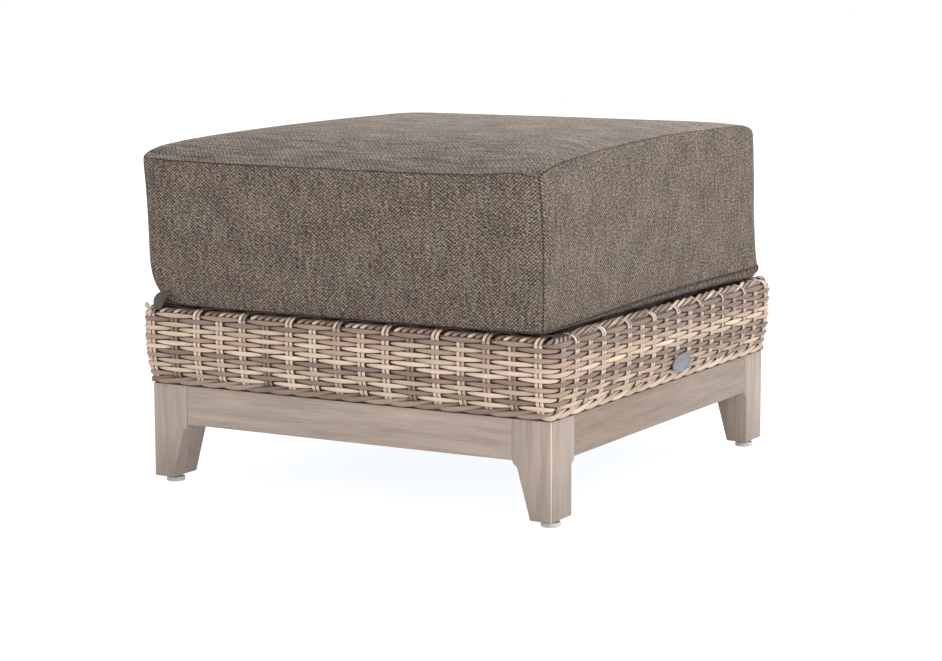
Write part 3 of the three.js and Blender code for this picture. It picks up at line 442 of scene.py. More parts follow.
def rows_of(items, key):
    """A vector of each vertex, face or value, as rows of three."""
    flat = np.empty(len(items) * 3)
    items.foreach_get(key, flat)
    return flat.reshape(-1, 3)


def points(piece):
    """The vertices of a mesh as rows of x, y, z."""
    return rows_of(piece.data.vertices, "co")


def place_points(piece, co):
    """Moves the vertices of a mesh to the given rows."""
    piece.data.vertices.foreach_set("co", np.asarray(co, dtype=np.float32).ravel())
    piece.data.update()


def select_where(piece, kind, test):
    """In edit mode: selects the vertices, edges or faces for which the test holds."""
    bpy.ops.object.mode_set(mode="EDIT")
    bpy.ops.mesh.select_mode(type=kind)
    bpy.ops.mesh.select_all(action="DESELECT")
    leave_edit()
    items = {"VERT": piece.data.vertices, "EDGE": piece.data.edges, "FACE": piece.data.polygons}[kind]
    found = [item for item in items if test(item)]
    if not found:
        raise RuntimeError("nothing to select on " + piece.name)
    for item in found:
        item.select = True
    bpy.ops.object.mode_set(mode="EDIT")


def give_numbers(piece, name, rows):
    """Keeps a number, or three, at each vertex under a name that the finishes read."""
    rows = np.asarray(rows, dtype=np.float32)
    kind, key = ("FLOAT", "value") if rows.ndim == 1 else ("FLOAT_VECTOR", "vector")
    piece.data.attributes.new(name, kind, "POINT").data.foreach_set(key, rows.ravel())


def apply_modifier(piece, kind, **settings):
    """Adds a modifier with its settings and applies it."""
    take(piece)
    bpy.ops.object.modifier_add(type=kind)
    modifier = piece.modifiers[-1]
    for name, value in settings.items():
        setattr(modifier, name, value)
    bpy.ops.object.modifier_apply(modifier=modifier.name)


def smooth(piece, degrees=None):
    """Shades a piece smooth, all over or up to an angle."""
    take(piece)
    if degrees is None:
        bpy.ops.object.shade_smooth()
    else:
        bpy.ops.object.shade_smooth_by_angle(angle=math.radians(degrees))


def dress(piece, body, *materials, slot=None, replaces=()):
    """Gives a finished piece its materials and its body, and hides the nodes that it stands for. The slot is not used.
    """
    piece.data.materials.clear()
    for material in materials:
        piece.data.materials.append(MATERIALS[material])
    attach(piece, body)
    if replaces:
        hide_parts(*replaces)
    return piece


def join(pieces, name):
    """Joins pieces into the first of them."""
    clear_selection()
    for piece in pieces:
        piece.select_set(True)
    bpy.context.view_layer.objects.active = pieces[0]
    if len(pieces) > 1:
        bpy.ops.object.join()
    return named(name)


def strand(name, path, half_widths, half_depths, hint, sides=8, painted_shade_share=0.0, edge=0.55):
    """A closed strand along a path: a cylinder cut into rings, each set square to the path.

    Its width lies near the hint's direction. The grain attribute holds the way along it and round it, and the painted
    shade attribute is 1 on its edges and at least the share given for each ring.
    """
    path = np.array(path, dtype=float)
    rings = len(path)
    clear_selection()
    bpy.ops.mesh.primitive_cylinder_add(vertices=sides, radius=1, depth=1, end_fill_type="NGON")
    piece = named(name)
    vertices = piece.data.vertices
    select_where(piece, "EDGE", lambda e: abs(vertices[e.vertices[0]].co.z - vertices[e.vertices[1]].co.z) > 0.5)
    bpy.ops.mesh.subdivide(number_cuts=rings - 2)
    leave_edit()
    co = points(piece)
    ring = np.rint((co[:, 2] + 0.5) * (rings - 1)).astype(int)
    tangents = np.gradient(path, axis=0)
    tangents /= np.linalg.norm(tangents, axis=1)[:, None]
    hint = np.array(hint, dtype=float)
    wide = hint[None, :] - tangents * (tangents @ hint)[:, None]
    wide /= np.linalg.norm(wide, axis=1)[:, None]
    deep = np.cross(tangents, wide)
    half_widths = np.broadcast_to(half_widths, rings)
    half_depths = np.broadcast_to(half_depths, rings)
    shaped = (
        path[ring]
        + wide[ring] * (co[:, 0] * half_widths[ring])[:, None]
        + deep[ring] * (co[:, 1] * half_depths[ring])[:, None]
    )
    place_points(piece, shaped)
    steps = np.r_[0, np.cumsum(np.linalg.norm(np.diff(path, axis=0), axis=1))]
    give_numbers(piece, "grain", np.column_stack([steps[ring], co[:, 0] * half_widths[ring], 0 * co[:, 0]]))
    # Painted shade on the strand's sides and back, where its neighbours would shade it.
    face = np.where(co[:, 1] < -0.7, 0.4, np.clip((edge - co[:, 1]) / edge, 0, 1))
    give_numbers(piece, "painted_shade", np.maximum(face, np.broadcast_to(painted_shade_share, rings)[ring]))
    return piece


def arrayed(piece, *steps):
    """Copies a module along one or two directions: each step is a count and an offset."""
    for count, offset in steps:
        if count > 1:
            fixed = {"use_relative_offset": False, "use_constant_offset": True}
            apply_modifier(piece, "ARRAY", count=count, constant_offset_displace=offset, **fixed)


def turned_out(piece):
    """Recalculates the normals to face outwards."""
    edit_all(piece)
    bpy.ops.mesh.normals_make_consistent(inside=False)
    leave_edit()
    return piece


# ---------------------------------------------------------------- the way round the frame

HALF = (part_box("leg_front_right")[1].x, -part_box("leg_front_left")[0].y)
RIM_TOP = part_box("rim_front")[1].z
CORNER = 4 * MM
NEUTRAL = 5 * MM  # the stakes are counted along the outline this far out
INNER_CORNER = 3 * MM
# How far the skirt stands out from the legs at a height, both in mm: a round shoulder over a tucked foot.
SKIRT_PROFILE = (
    (136, 1.2), (143, 1.4), (148, 2.3), (153, 3.7), (158, 5.0), (163, 6.1), (168, 6.9), (173, 7.6), (179, 8.3),
    (185, 8.8), (192, 9.3), (200, 9.5), (210, 9.5), (222, 9.3), (234, 9.2),
)
SKIRT_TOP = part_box("weave_front")[1].z
ARC = math.pi / 4 * (CORNER + NEUTRAL)
SIDE_LENGTHS = [2 * (HALF[i % 2] - CORNER) + 2 * ARC for i in range(4)]
SIDE_STARTS = np.r_[0, np.cumsum(SIDE_LENGTHS)]
STAKES = (17, 18, 17, 18)  # pairs of upright strands in each side
# From each end of a side to its last pair, in mm.
END_GAPS = ((10.5, 16.45), (14.5, 16.55), (14.25, 12.45), (14.5, 16.85))
FIRST_STAKES = np.r_[0, np.cumsum(STAKES)]
BAY = 36.45 * MM
KNOT = 0.17  # share of a bay beside a stake that keeps its true length


def stake_places():
    """Where each pair of stakes stands, along the outline from the front left corner."""
    places = []
    for side in range(4):
        first, last = (gap * MM for gap in END_GAPS[side])
        places.extend(np.linspace(first, SIDE_LENGTHS[side] - last, STAKES[side]) + SIDE_STARTS[side])
    return np.array(places)


STAKE_PLACES = stake_places()


def along_of_bay(bay):
    """Turns a place counted in bays into a length along the outline."""
    count = len(STAKE_PLACES)
    numbers = np.arange(-4, count + 4)
    places = STAKE_PLACES[numbers % count] + SIDE_STARTS[4] * (numbers // count)
    knots = np.ravel(np.column_stack([numbers - KNOT, numbers + KNOT]))
    lengths = np.ravel(np.column_stack([places - KNOT * BAY, places + KNOT * BAY]))
    return np.interp(bay, knots, lengths)


def round_frame(along, out):
    """The x and y of points a length along the outline and a distance out from the legs' faces."""
    total = SIDE_STARTS[4]
    along = np.mod(along, total)
    side = np.clip(np.searchsorted(SIDE_STARTS, along, side="right") - 1, 0, 3)
    local = along - SIDE_STARTS[side]
    size = np.array(SIDE_LENGTHS)[side]
    half = np.array([HALF[i % 2] for i in range(4)])[side]
    across = np.array([HALF[(i + 1) % 2] for i in range(4)])[side]
    radius = np.maximum(CORNER + out, INNER_CORNER)
    reach = half + out - radius
    straight = -reach + 2 * reach * np.clip((local - ARC) / (size - 2 * ARC), 0, 1)
    bend = np.where(local < ARC, (local - ARC) / ARC, np.where(local > size - ARC, (local - size + ARC) / ARC, 0))
    angle = bend * math.pi / 4
    x = straight + radius * np.sin(angle)
    y = -(across + out - radius) - radius * np.cos(angle)
    turn = side * math.pi / 2
    return x * np.cos(turn) - y * np.sin(turn), x * np.sin(turn) + y * np.cos(turn)


def skirt_out(z):
    """How far the woven face stands out at a height."""
    heights, outs = np.array(SKIRT_PROFILE).T * MM
    return np.interp(z, heights, outs)


def bent(piece, follows_skirt):
    """Bends a flat module, laid out as bays, distance out and height, round the frame."""
    co = points(piece)
    out = -co[:, 1] + (skirt_out(co[:, 2]) if follows_skirt else 0)
    x, y = round_frame(along_of_bay(co[:, 0] / BAY), out)
    place_points(piece, np.column_stack([x, y, co[:, 2]]))


def give_tone(piece, tones, rng):
    """Gives each copy in an arrayed piece its own tone and its own stretch of grain."""
    copies = len(tones)
    count = len(piece.data.vertices) // copies
    give_numbers(piece, "tone", np.repeat(tones, count))
    grain = piece.data.attributes["grain"]
    rows = rows_of(grain.data, "vector")
    rows[:, 2] = np.repeat(rng.uniform(0, 90, copies), count)
    grain.data.foreach_set("vector", rows.astype(np.float32).ravel())


def along_side(name, side, out, height, half_width, half_depth, sides):
    """A strand painted all over in the shade colour, that runs from end to end of a side, a distance out, at a height.
    """
    bays = np.arange(FIRST_STAKES[side] - 0.56, FIRST_STAKES[side + 1] - 0.44, 0.25)
    path = np.column_stack([bays * BAY, 0 * bays - out, 0 * bays + height])
    return strand(name, path, half_width, half_depth, (0, 0, 1), sides, 1.0)


# Tones of the woven rows from the top down, at shares of each side's length: 0 is cream and 1 is grey brown.
ROW_TONES = {
    "front": ((0.08, 0.22, 0.58, 0.95), (
        (0.25, 0.60, 0.75, 0.70), (0.85, 0.85, 0.85, 0.85), (0.25, 0.30, 0.40, 0.35), (0.30, 0.30, 0.50, 0.60),
        (0.10, 0.10, 0.10, 0.10), (0.45, 0.45, 0.45, 0.20), (0.10, 0.15, 0.05, 0.10), (0.10, 0.05, 0.05, 0.10),
        (0.90, 0.85, 0.90, 0.85), (0.60, 0.65, 0.75, 0.55), (0.30, 0.30, 0.40, 0.30), (0.20, 0.10, 0.05, 0.10),
        (0.10, 0.85, 0.85, 0.80), (0.75, 0.05, 0.05, 0.05),
    )),
    "right": ((0.05, 0.35, 0.93), (
        (0.92, 0.95, 0.95), (0.95, 1.00, 1.00), (0.70, 0.75, 0.95), (0.85, 0.85, 0.80), (0.45, 0.40, 0.60),
        (0.60, 0.30, 0.30), (0.22, 0.12, 0.12), (0.28, 0.40, 0.35), (0.95, 1.00, 0.75), (0.95, 0.85, 1.00),
        (0.55, 0.75, 0.95), (0.35, 0.35, 0.70), (0.90, 0.85, 0.25), (0.25, 0.30, 0.85),
    )),
    "back": ((0.05, 0.50, 0.95), (
        (0.80, 0.50, 0.40), (0.85, 0.80, 0.85), (0.70, 0.30, 0.20), (0.60, 0.20, 0.10), (0.30, 0.55, 0.60),
        (0.10, 0.80, 0.85), (0.05, 0.35, 0.30), (0.15, 0.10, 0.05), (0.45, 0.15, 0.10), (0.85, 0.70, 0.70),
        (0.80, 0.85, 0.90), (0.40, 0.30, 0.25), (0.10, 0.15, 0.15), (0.60, 0.55, 0.60),
    )),
    "left": ((0.05, 0.50, 0.95), (
        (0.45, 0.60, 0.25), (0.85, 0.80, 0.85), (0.20, 0.15, 0.25), (0.10, 0.30, 0.30), (0.60, 0.15, 0.10),
        (0.85, 0.50, 0.45), (0.30, 0.20, 0.10), (0.05, 0.10, 0.10), (0.15, 0.75, 0.90), (0.70, 0.85, 0.60),
        (0.90, 0.30, 0.30), (0.25, 0.20, 0.20), (0.15, 0.80, 0.10), (0.60, 0.10, 0.75),
    )),
}


# How the woven strands lie: how pointed they are, how far out their middle stands and their relief in mm, and how much
# shade is painted on their ends. The two sides are woven looser and plumper than the front, with less painted shade.
FRONT_FORM = (0.56, -1.1, 1.9, 0.85)
SIDE_FORM = (0.44, -0.8, 1.45, 0.62)
STRAND_FORM = {"front": FRONT_FORM, "right": SIDE_FORM, "back": FRONT_FORM, "left": SIDE_FORM}
# Where the random draws of each group of strands start.
WEAVE_SEED, RIM_SEED, BORDER_SEED, STAKE_SEED = 40, 60, 80, 500


def float_module(settings, side):
    """One woven strand: a lens that passes over a pair of stakes and dips behind its neighbours."""
    point, middle, relief, shade = STRAND_FORM[SIDES[side]]
    t = np.array([-1.04, -0.93, -0.8, -0.62, -0.42, -0.2, 0, 0.2, 0.42, 0.62, 0.8, 0.93, 1.04])
    bow = np.cos(np.pi / 2 * np.clip(t, -1, 1) * 0.96) ** point
    path = np.column_stack([t * BAY, -(middle + relief * np.cos(np.pi * np.clip(t, -1, 1))) * MM, 0 * t])
    widths = settings.strand_half_width * bow
    depths = settings.strand_half_depth * (0.45 + 0.55 * bow)
    # Painted shade on the ends, where the strand dips behind the stakes.
    painted_shade_share = shade * np.clip((np.abs(t) - 0.8) / 0.2, 0, 1)
    return strand("float", path, widths, depths, (0, 0, 1), 10, painted_shade_share, 0.4)


def stake_module(settings, phase, top):
    """One upright strand, bowed out wherever the woven row passes behind it."""
    pitch = settings.row_pitch
    z = np.arange(settings.first_row - 5.5 * MM, top, pitch / 2)
    beat = np.cos(np.pi * ((z - settings.first_row) / pitch + phase))
    path = np.column_stack([0 * z, -(-0.35 + 1.45 * beat) * MM, z])
    # Painted shade where the stake bows back behind a row, none where it stands out.
    return strand("stake", path, settings.stake_half_width, 1.4 * MM, (-1, 0, 0), 8, 0.42 - 0.42 * beat, 0.35)


def shifted(piece, by):
    """Moves every vertex of a piece by one step, in edit mode."""
    edit_all(piece)
    bpy.ops.transform.translate(value=by)
    leave_edit()


def finished_wicker(parts, name, node):
    """Joins the strands of one side into a piece that stands for its CAD node."""
    piece = turned_out(join(parts, name))
    smooth(piece)
    return dress(piece, "frame", "wicker", slot="wicker_strand", replaces=[node])


def woven_side(settings, side):
    """The woven face of one side: rows of floats over pairs of stakes."""
    rng = np.random.default_rng(WEAVE_SEED + side)
    first, last = FIRST_STAKES[side], FIRST_STAKES[side + 1]
    places, tones = ROW_TONES[SIDES[side]]
    parts = []
    for start in (1, 2):  # odd rows from the top, then even ones
        stakes = [k for k in range(first, last) if (k + start) % 2 == 0]
        rows = list(range(start, settings.rows + 1, 2))
        module = float_module(settings, side)
        top = settings.first_row + (settings.rows - start) * settings.row_pitch
        shifted(module, (stakes[0] * BAY, 0, top))
        arrayed(module, (len(stakes), (2 * BAY, 0, 0)), (len(rows), (0, 0, -2 * settings.row_pitch)))
        copies = len(stakes) * len(rows)
        shares = (np.array(stakes) - first + 0.5) / (last - first)
        shades = []
        for j in rows:
            shades.extend(np.interp(shares, places, tones[j - 1]) + rng.uniform(-0.09, 0.09, len(stakes)))
        give_tone(module, np.clip(shades, 0, 1), rng)
        co = points(module)
        each = len(co) // copies
        co[:, 2] += np.repeat(rng.uniform(-0.3, 0.3, copies) * MM, each)
        co[:, 1] += np.repeat(rng.uniform(-0.25, 0.25, copies) * MM, each)
        place_points(module, co)
        bent(module, True)
        parts.append(module)
    for parity in (0, 1):
        stakes = [k for k in range(first, last) if k % 2 == parity]
        for sign in (-1, 1):
            module = stake_module(settings, 1 - parity, SKIRT_TOP - (0.5, 4)[parity] * MM)
            shifted(module, (stakes[0] * BAY + sign * settings.stake_spread, 0, 0))
            arrayed(module, (len(stakes), (2 * BAY, 0, 0)))
            give_tone(module, [stake_tone(k, sign) for k in stakes], rng)
            bent(module, True)
            parts.append(module)
    # The woven rows where they run behind the stakes, painted all over in the shade colour to stand for the shade
    # behind the weave.
    lining = along_side("lining", side, -2.2 * MM, 0, settings.row_pitch * 0.66, 0.8 * MM, 6)
    shifted(lining, (0, 0, settings.first_row))
    arrayed(lining, (settings.rows, (0, 0, settings.row_pitch)))
    give_tone(lining, np.full(settings.rows, 0.6), rng)
    bent(lining, True)
    parts.append(lining)
    return finished_wicker(parts, "woven_skirt_" + SIDES[side], "weave_" + SIDES[side])


def stake_tone(number, sign):
    """Tone of an upright strand: most pairs are cream, some tan and some grey brown, and a few are mixed."""
    rng = np.random.default_rng(STAKE_SEED + number)
    tone = rng.choice([0.0, 0.08, 0.35, 0.8], p=[0.4, 0.25, 0.2, 0.15])
    if sign > 0 and rng.random() < 0.3:
        tone = rng.choice([0.0, 0.35, 0.7])
    return float(np.clip(tone + rng.uniform(-0.05, 0.06), 0, 1))


PAIR_STARTS = (-3.0, 3.2)  # mm from the middle of a pair
# Stations of a rim strand: along, out and up in mm. On the front and the back the strands rise over the crest and
# then run along the top like the lay of a rope. On the two sides the pairs go straight inward and long ones arc
# over them.
SHORT_PAIR = (
    (-1.5, 7.8, 225.0), (-1.0, 9.2, 229.0), (-0.4, 9.4, 232.6), (0.2, 8.0, 235.6), (0.8, 4.8, 237.8),
    (1.6, 0.8, 239.4), (3.6, -2.6, 240.6), (9.0, -4.4, 241.2), (19, -5.2, 240.8), (31, -7.6, 239.2),
    (44, -13.0, 238.0), (55, -19.0, 237.0), (62, -23.0, 232.8), (63, -23.4, 228.6),
)
SHORT_SINGLE = (
    (-5.0, 3.4, 224.5), (-4.0, 4.4, 228.0), (-2.5, 5.8, 231.6), (-0.2, 6.2, 234.2), (3.2, 5.0, 236.4),
    (7.2, 2.6, 237.8), (12.5, -0.8, 238.3), (20, -4.8, 238.2), (30, -9.0, 237.6), (41, -13.6, 237.0),
    (52, -18.4, 236.6), (60, -22.2, 234.8), (62.4, -23.4, 231.4), (63.4, -23.4, 228.6),
)
LONG_PAIR = (
    (0.0, 7.8, 225.0), (0.0, 9.2, 229.0), (-0.2, 9.4, 232.4), (-0.4, 7.8, 235.4), (-0.6, 4.6, 237.2),
    (-0.8, 0.6, 238.2), (-1.0, -4.0, 238.4), (-1.0, -9.0, 238.0), (-1.0, -14.0, 237.0), (-1.0, -18.0, 235.6),
    (-1.0, -21.0, 233.4), (-1.0, -23.0, 231.0), (-1.0, -23.4, 229.6), (-1.0, -23.4, 228.6),
)
LONG_SINGLE = (
    (-34, 1.6, 230.6), (-28, 3.0, 233.6), (-20, 3.6, 236.0), (-10, 2.8, 237.8), (0, 0.6, 239.2),
    (10, -2.0, 240.2), (20, -5.0, 240.2), (30, -8.5, 239.4), (40, -12.0, 238.2), (48, -15.5, 237.2),
    (55, -19.0, 236.0), (60, -22.0, 234.0), (63, -23.4, 231.0), (64, -23.4, 228.6),
)
# For each side: the stations of a pair and of a single strand, the half width of a single in mm, where the singles and
# the second strands between them start in mm from a pair, and how much shade is painted on the second strands.
SHORT_LAY = (SHORT_PAIR, SHORT_SINGLE, 3.0, (14.2, 25.4, 36.6, 47.8, 59.0), (9.0, 20.0, 31.0, 42.4, 53.6, 64.6), 0.8)
LONG_LAY = (LONG_PAIR, LONG_SINGLE, 2.4, (8.0, 30.0, 52.0), (19.0, 41.0, 63.0), 0.3)
RIM_LAY = {"front": SHORT_LAY, "right": LONG_LAY, "back": SHORT_LAY, "left": LONG_LAY}
# How far out the rim comes before the painted shadow of the cushion starts on it, in mm.
RIM_SHADE = {"front": 5.6, "right": -9.0, "back": -12.0, "left": 6.0}


# Strand ends that stand up at two corners of the rim: x, y and z in mm, then tone, half width and hint.
CORNER_ENDS = {
    "front": (
        (((-294.0, -330.0, 230.0), (-296.0, -332.0, 235.0), (-298.5, -333.0, 239.5), (-302.0, -333.5, 245.5)),
         0.3, 3.0, (-1, 0, 0)),
        (((-296.0, -326.0, 230.0), (-299.0, -328.0, 234.0), (-302.5, -329.0, 238.5), (-306.0, -329.5, 243.0)),
         1.0, 2.4, (-1, 0, 0)),
    ),
    "right": (
        (((308.5, 314.5, 228.0), (308.5, 315.0, 237.0), (305.0, 315.5, 243.5), (299.5, 315.0, 245.0),
          (294.0, 313.5, 241.5)), 0.3, 1.5, (0.5, 0.9, 0)),
        (((306.0, 313.0, 230.0), (305.5, 313.5, 237.0), (302.5, 313.5, 241.5), (298.0, 312.5, 242.5),
          (293.0, 311.0, 239.5)), 0.9, 1.2, (0.5, 0.9, 0)),
    ),
}


def rim_side(side):
    """The wrapped rim: strands that rise from the woven face and run slantwise over the top rail."""
    rng = np.random.default_rng(RIM_SEED + side)
    first, last = FIRST_STAKES[side], FIRST_STAKES[side + 1]
    pairs = [k for k in range(first, last) if k % 2 == 0]
    pair_lay, single_lay, single_half, single_starts, filler_starts, filler_shade = RIM_LAY[SIDES[side]]
    shaded_at = RIM_SHADE[SIDES[side]]
    parts = []

    def lay(name, stations, start, half_width, half_depth, sides, painted_shade_share, shades):
        """Lays one strand over each pair of bays."""
        module = strand(name, stations * (MM, -MM, MM), half_width * MM, half_depth * MM, (-1, 0, 0), sides, painted_shade_share)
        shifted(module, (pairs[0] * BAY + start * MM, 0, 0))
        arrayed(module, (len(pairs), (2 * BAY, 0, 0)))
        give_tone(module, shades, rng)
        bent(module, False)
        parts.append(module)

    for number, start in enumerate(PAIR_STARTS + single_starts):
        pair = number < len(PAIR_STARTS)
        stations = np.array(pair_lay if pair else single_lay)
        # Painted shadow of the cushion on the strand, deepening as it runs in beneath it.
        painted_shade_share = 1.12 * np.clip((shaded_at - stations[:, 1]) / 4.0, 0, 1)
        if number == 0:
            shades = rng.uniform(0.0, 0.2, len(pairs))
        elif number == 1:
            shades = rng.choice([0.1, 0.35, 0.6, 0.85], len(pairs))
        else:
            shades = rng.choice([0.1, 0.45, 0.7, 0.85, 0.95], len(pairs))
        lay("rim_strand", stations, start, 2.5 if pair else single_half, 1.5, 8, painted_shade_share, shades)
    # Second strands that show between the others, a little lower, with painted shade that deepens under the cushion.
    for start in filler_starts:
        stations = np.array(single_lay[1:8]) - (0, 1.2, 1.9)
        painted_shade_share = filler_shade + (1.1 - filler_shade) * np.clip((shaded_at + 2 - stations[:, 1]) / 4.0, 0, 1)
        lay("rim_filler", stations, start, 2.4, 1.2, 6, painted_shade_share, rng.choice([0.3, 0.6, 0.85], len(pairs)))
    # The padded core that the strands are wrapped over, painted all over in the shade colour, which shows as shade
    # between them.
    core = along_side("rim_core", side, -10.5 * MM, 230.5 * MM, 4.4 * MM, 15 * MM, 12)
    give_tone(core, [1.0], rng)
    bent(core, False)
    parts.append(core)
    for path, tone, width, hint in CORNER_ENDS.get(SIDES[side], ()):
        widths = np.r_[1.2, np.full(10, width), 1.6] * MM
        end = strand("corner_end", eased(np.array(path) * MM, 12), widths, width * 0.6 * MM, hint)
        give_tone(end, [tone], rng)
        parts.append(end)
    return finished_wicker(parts, "wrapped_rim_" + SIDES[side], "rim_" + SIDES[side])


BORDER = (  # share of the leaf's length, height and distance out in mm, share of the full width
    (0, 140.4, -0.4, 0.10),
    (0.06, 140.1, 0.3, 0.42),
    (0.14, 140.1, 1.0, 0.70),
    (0.25, 140.5, 1.5, 0.92),
    (0.38, 141.4, 1.6, 1.0),
    (0.50, 142.5, 1.3, 0.98),
    (0.62, 143.9, 0.7, 0.90),
    (0.74, 145.4, 0.0, 0.78),
    (0.85, 147.0, -0.7, 0.62),
    (0.94, 148.2, -1.4, 0.44),
    (1, 149.0, -2.2, 0.25),
)
BORDER_BAYS = 2.05
BORDER_TONES = {"front": 0.78, "right": 0.16, "back": 0.45, "left": 0.5}


def border_side(side):
    """The foot border: broad strands that overlap like rope, one to a bay."""
    rng = np.random.default_rng(BORDER_SEED + side)
    count = FIRST_STAKES[side + 1] - FIRST_STAKES[side]
    path = np.array([(t * BORDER_BAYS * BAY, -out * MM, z * MM) for t, z, out, _ in BORDER])
    widths = np.array([w for *_, w in BORDER]) * 4.0 * MM
    # Painted shade on each leaf's ends, where it tucks under its neighbours.
    ends = np.interp([t for t, *_ in BORDER], [0, 0.12, 0.8, 1], [0.9, 0, 0, 0.8])
    leaves = strand("border_leaf", path, widths, 2.0 * MM, (0, 0, 1), 12, ends, 0.9)
    shifted(leaves, ((FIRST_STAKES[side] - 1.1) * BAY, 0, 0))
    arrayed(leaves, (count, (BAY, 0, 0)))
    give_tone(leaves, np.clip(rng.normal(BORDER_TONES[SIDES[side]], 0.17, count), 0.05, 0.95), rng)
    bent(leaves, False)
    # The strands below them that close the foot of the skirt, painted all over in the shade colour.
    core = along_side("border_core", side, -1.6 * MM, 142.7 * MM, 6.3 * MM, 1.6 * MM, 8)
    give_tone(core, [0.8], rng)
    bent(core, False)
    return finished_wicker([leaves, core], "foot_border_" + SIDES[side], "braid_" + SIDES[side])


# ---------------------------------------------------------------- cushion

CUSHION_LOW, CUSHION_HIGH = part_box("cushion_cover")
SEAT_HALF = (
    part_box("rim_right")[0].x - 2.5 * MM,
    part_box("rim_back")[0].y - 2.5 * MM,
)
# Height of the top seam round the cushion, measured along each side from its start, in mm.
TOP_SEAM = {
    "front": ((0, 437), (42, 435), (90, 434), (143, 433.2), (395, 433), (462, 433.5), (510, 435), (538, 437),
              (554, 439.5), (567, 439.4), (579, 437.3), (591, 435.7), (600, 434.6)),
    "right": ((0, 434.6), (12, 441), (38, 445.5), (64, 449), (172, 456.8), (347, 463.2), (485, 462.4), (585, 462),
              (612, 459.5), (624, 456), (632, 450)),
    "back": ((0, 450), (12, 455), (30, 457), (80, 457.5), (300, 458.5), (520, 457), (570, 454), (600, 450)),
    "left": ((0, 452), (40, 456.5), (200, 459), (300, 458.5), (400, 457.5), (500, 455.5), (560, 452.5), (590, 450),
             (610, 447), (622, 443), (632, 438)),
}
TOP_RISE = (44, 16, 22, 26)  # how soon the top rises behind each seam, in mm
CROWN_REACH = 310 * MM  # how far from the front the crown is reached
CROWN_BELOW, CROWN_FALL = 1.2 * MM, 9 * MM  # how far it stays below the box's top, and falls to the front
BELLY_REACH = 9 * MM  # how far from the bottom seam the panel's belly reaches its lowest
OVER_RIM = 2.2 * MM  # how far over the rim the panel rests on it
SEAT_START, SEAT_STEP = 24 * MM, 14 * MM  # where the bottom steps into the rim's opening, and how wide the step is
BETWEEN_DRAW = 4 * MM  # how far the seams are drawn in between the corners
TOP_PUSH = (4.5 * MM, 5.0 * MM)  # how far the top sits to the left and to the front
SLUMP = 3.4 * MM  # how far the foot of the back right corner settles outward
# Height of the bottom seam round the cushion, in mm.
LOW_SEAM = {
    "front": ((0, 258), (14, 249.5), (40, 243), (90, 241.6), (300, 241), (540, 242), (600, 244)),
    "right": ((0, 244), (40, 244.5), (132, 247), (200, 249), (300, 252.4), (420, 254.5), (560, 255.5), (610, 257),
              (632, 261)),
    "back": ((0, 261), (40, 254), (300, 252), (560, 254), (600, 260)),
    "left": ((0, 260), (40, 254), (316, 252), (590, 252), (620, 254), (632, 258)),
}
# How far the bottom seam is drawn in at each corner, in mm, and the two sides that meet there.
LOW_DRAW = (("front_left", 9.0, 0, 3), ("front_right", 3.0, 0, 1), ("back_right", -6.0, 2, 1), ("back_left", 3.0, 2, 3))
# Where the cuts lie beside an edge, across and upright, and how far apart they are between, in mm.
SPACING = (0, 1.4, 3.2, 6, 10, 15.5, 22, 30, 39)
UPRIGHT_SPACING = (0, 1.4, 3.2, 6, 10, 16)
STEP = 11.0


def cuts(size, beside=SPACING):
    """Places of the cuts across one direction, close together beside the seams."""
    size = size / MM
    inner = np.linspace(beside[-1], size - beside[-1], int(round((size - 2 * beside[-1]) / STEP)) + 1)
    return np.r_[beside[:-1], inner, size - np.array(beside[:-1][::-1])][1:-1] * MM


def seam_height(table, side, share_along):
    """Height of a seam at a share of a side's length, eased between the measured places."""
    places, heights = np.array(table[SIDES[side]]).T
    fine = np.linspace(0, places[-1], 200)
    kernel = np.hanning(9)
    padded = np.pad(np.interp(fine, places, heights), 4, mode="edge")
    softened = np.convolve(padded, kernel / kernel.sum(), mode="valid")
    softened[0], softened[-1] = heights[0], heights[-1]
    return np.interp(share_along * places[-1], fine, softened) * MM


def fading(distance, reach):
    """1 at a seam or corner, and less with the distance from it; the reach is in mm."""
    return np.exp(-distance / (reach * MM))


def boxed_mesh(name, low, high, planes):
    """A box cut through at the given planes across each direction."""
    size = high - low
    clear_selection()
    bpy.ops.mesh.primitive_cube_add(size=1, location=(0, 0, 0))
    piece = named(name)
    edit_all(piece)
    bpy.ops.transform.translate(value=(0.5, 0.5, 0.5))
    bpy.ops.transform.resize(value=tuple(size), center_override=(0, 0, 0))
    bpy.ops.transform.translate(value=tuple(low))
    for axis in range(3):
        normal = [0, 0, 0]
        normal[axis] = 1
        for place in planes[axis]:
            at = [0, 0, 0]
            at[axis] = low[axis] + place
            bpy.ops.mesh.select_all(action="SELECT")
            bpy.ops.mesh.bisect(plane_co=at, plane_no=normal)
    leave_edit()
    return piece


def panel_uv(piece):
    """Lays each panel of the box flat in a UV map, in metres, mirrored from side to side."""
    mesh = piece.data
    layer = mesh.uv_layers.new(name="panel")
    co = points(piece)
    loops = np.empty(len(mesh.loops), dtype=int)
    mesh.loops.foreach_get("vertex_index", loops)
    normals = rows_of(mesh.polygons, "normal")
    totals = np.empty(len(mesh.polygons), dtype=int)
    mesh.polygons.foreach_get("loop_total", totals)
    axis = np.repeat(np.abs(normals).argmax(1), totals)
    sign = np.repeat(normals[np.arange(len(normals)), np.abs(normals).argmax(1)], totals)
    at = co[loops]
    u = np.where(axis == 0, -at[:, 1] * sign, np.where(axis == 1, -at[:, 0] * sign, at[:, 1]))
    v = np.where(axis == 2, at[:, 0], at[:, 2])
    panel = axis * 2 + (sign > 0)
    u = u + panel * PANEL_STEP
    layer.data.foreach_set("uv", np.column_stack([u, v]).astype(np.float32).ravel())


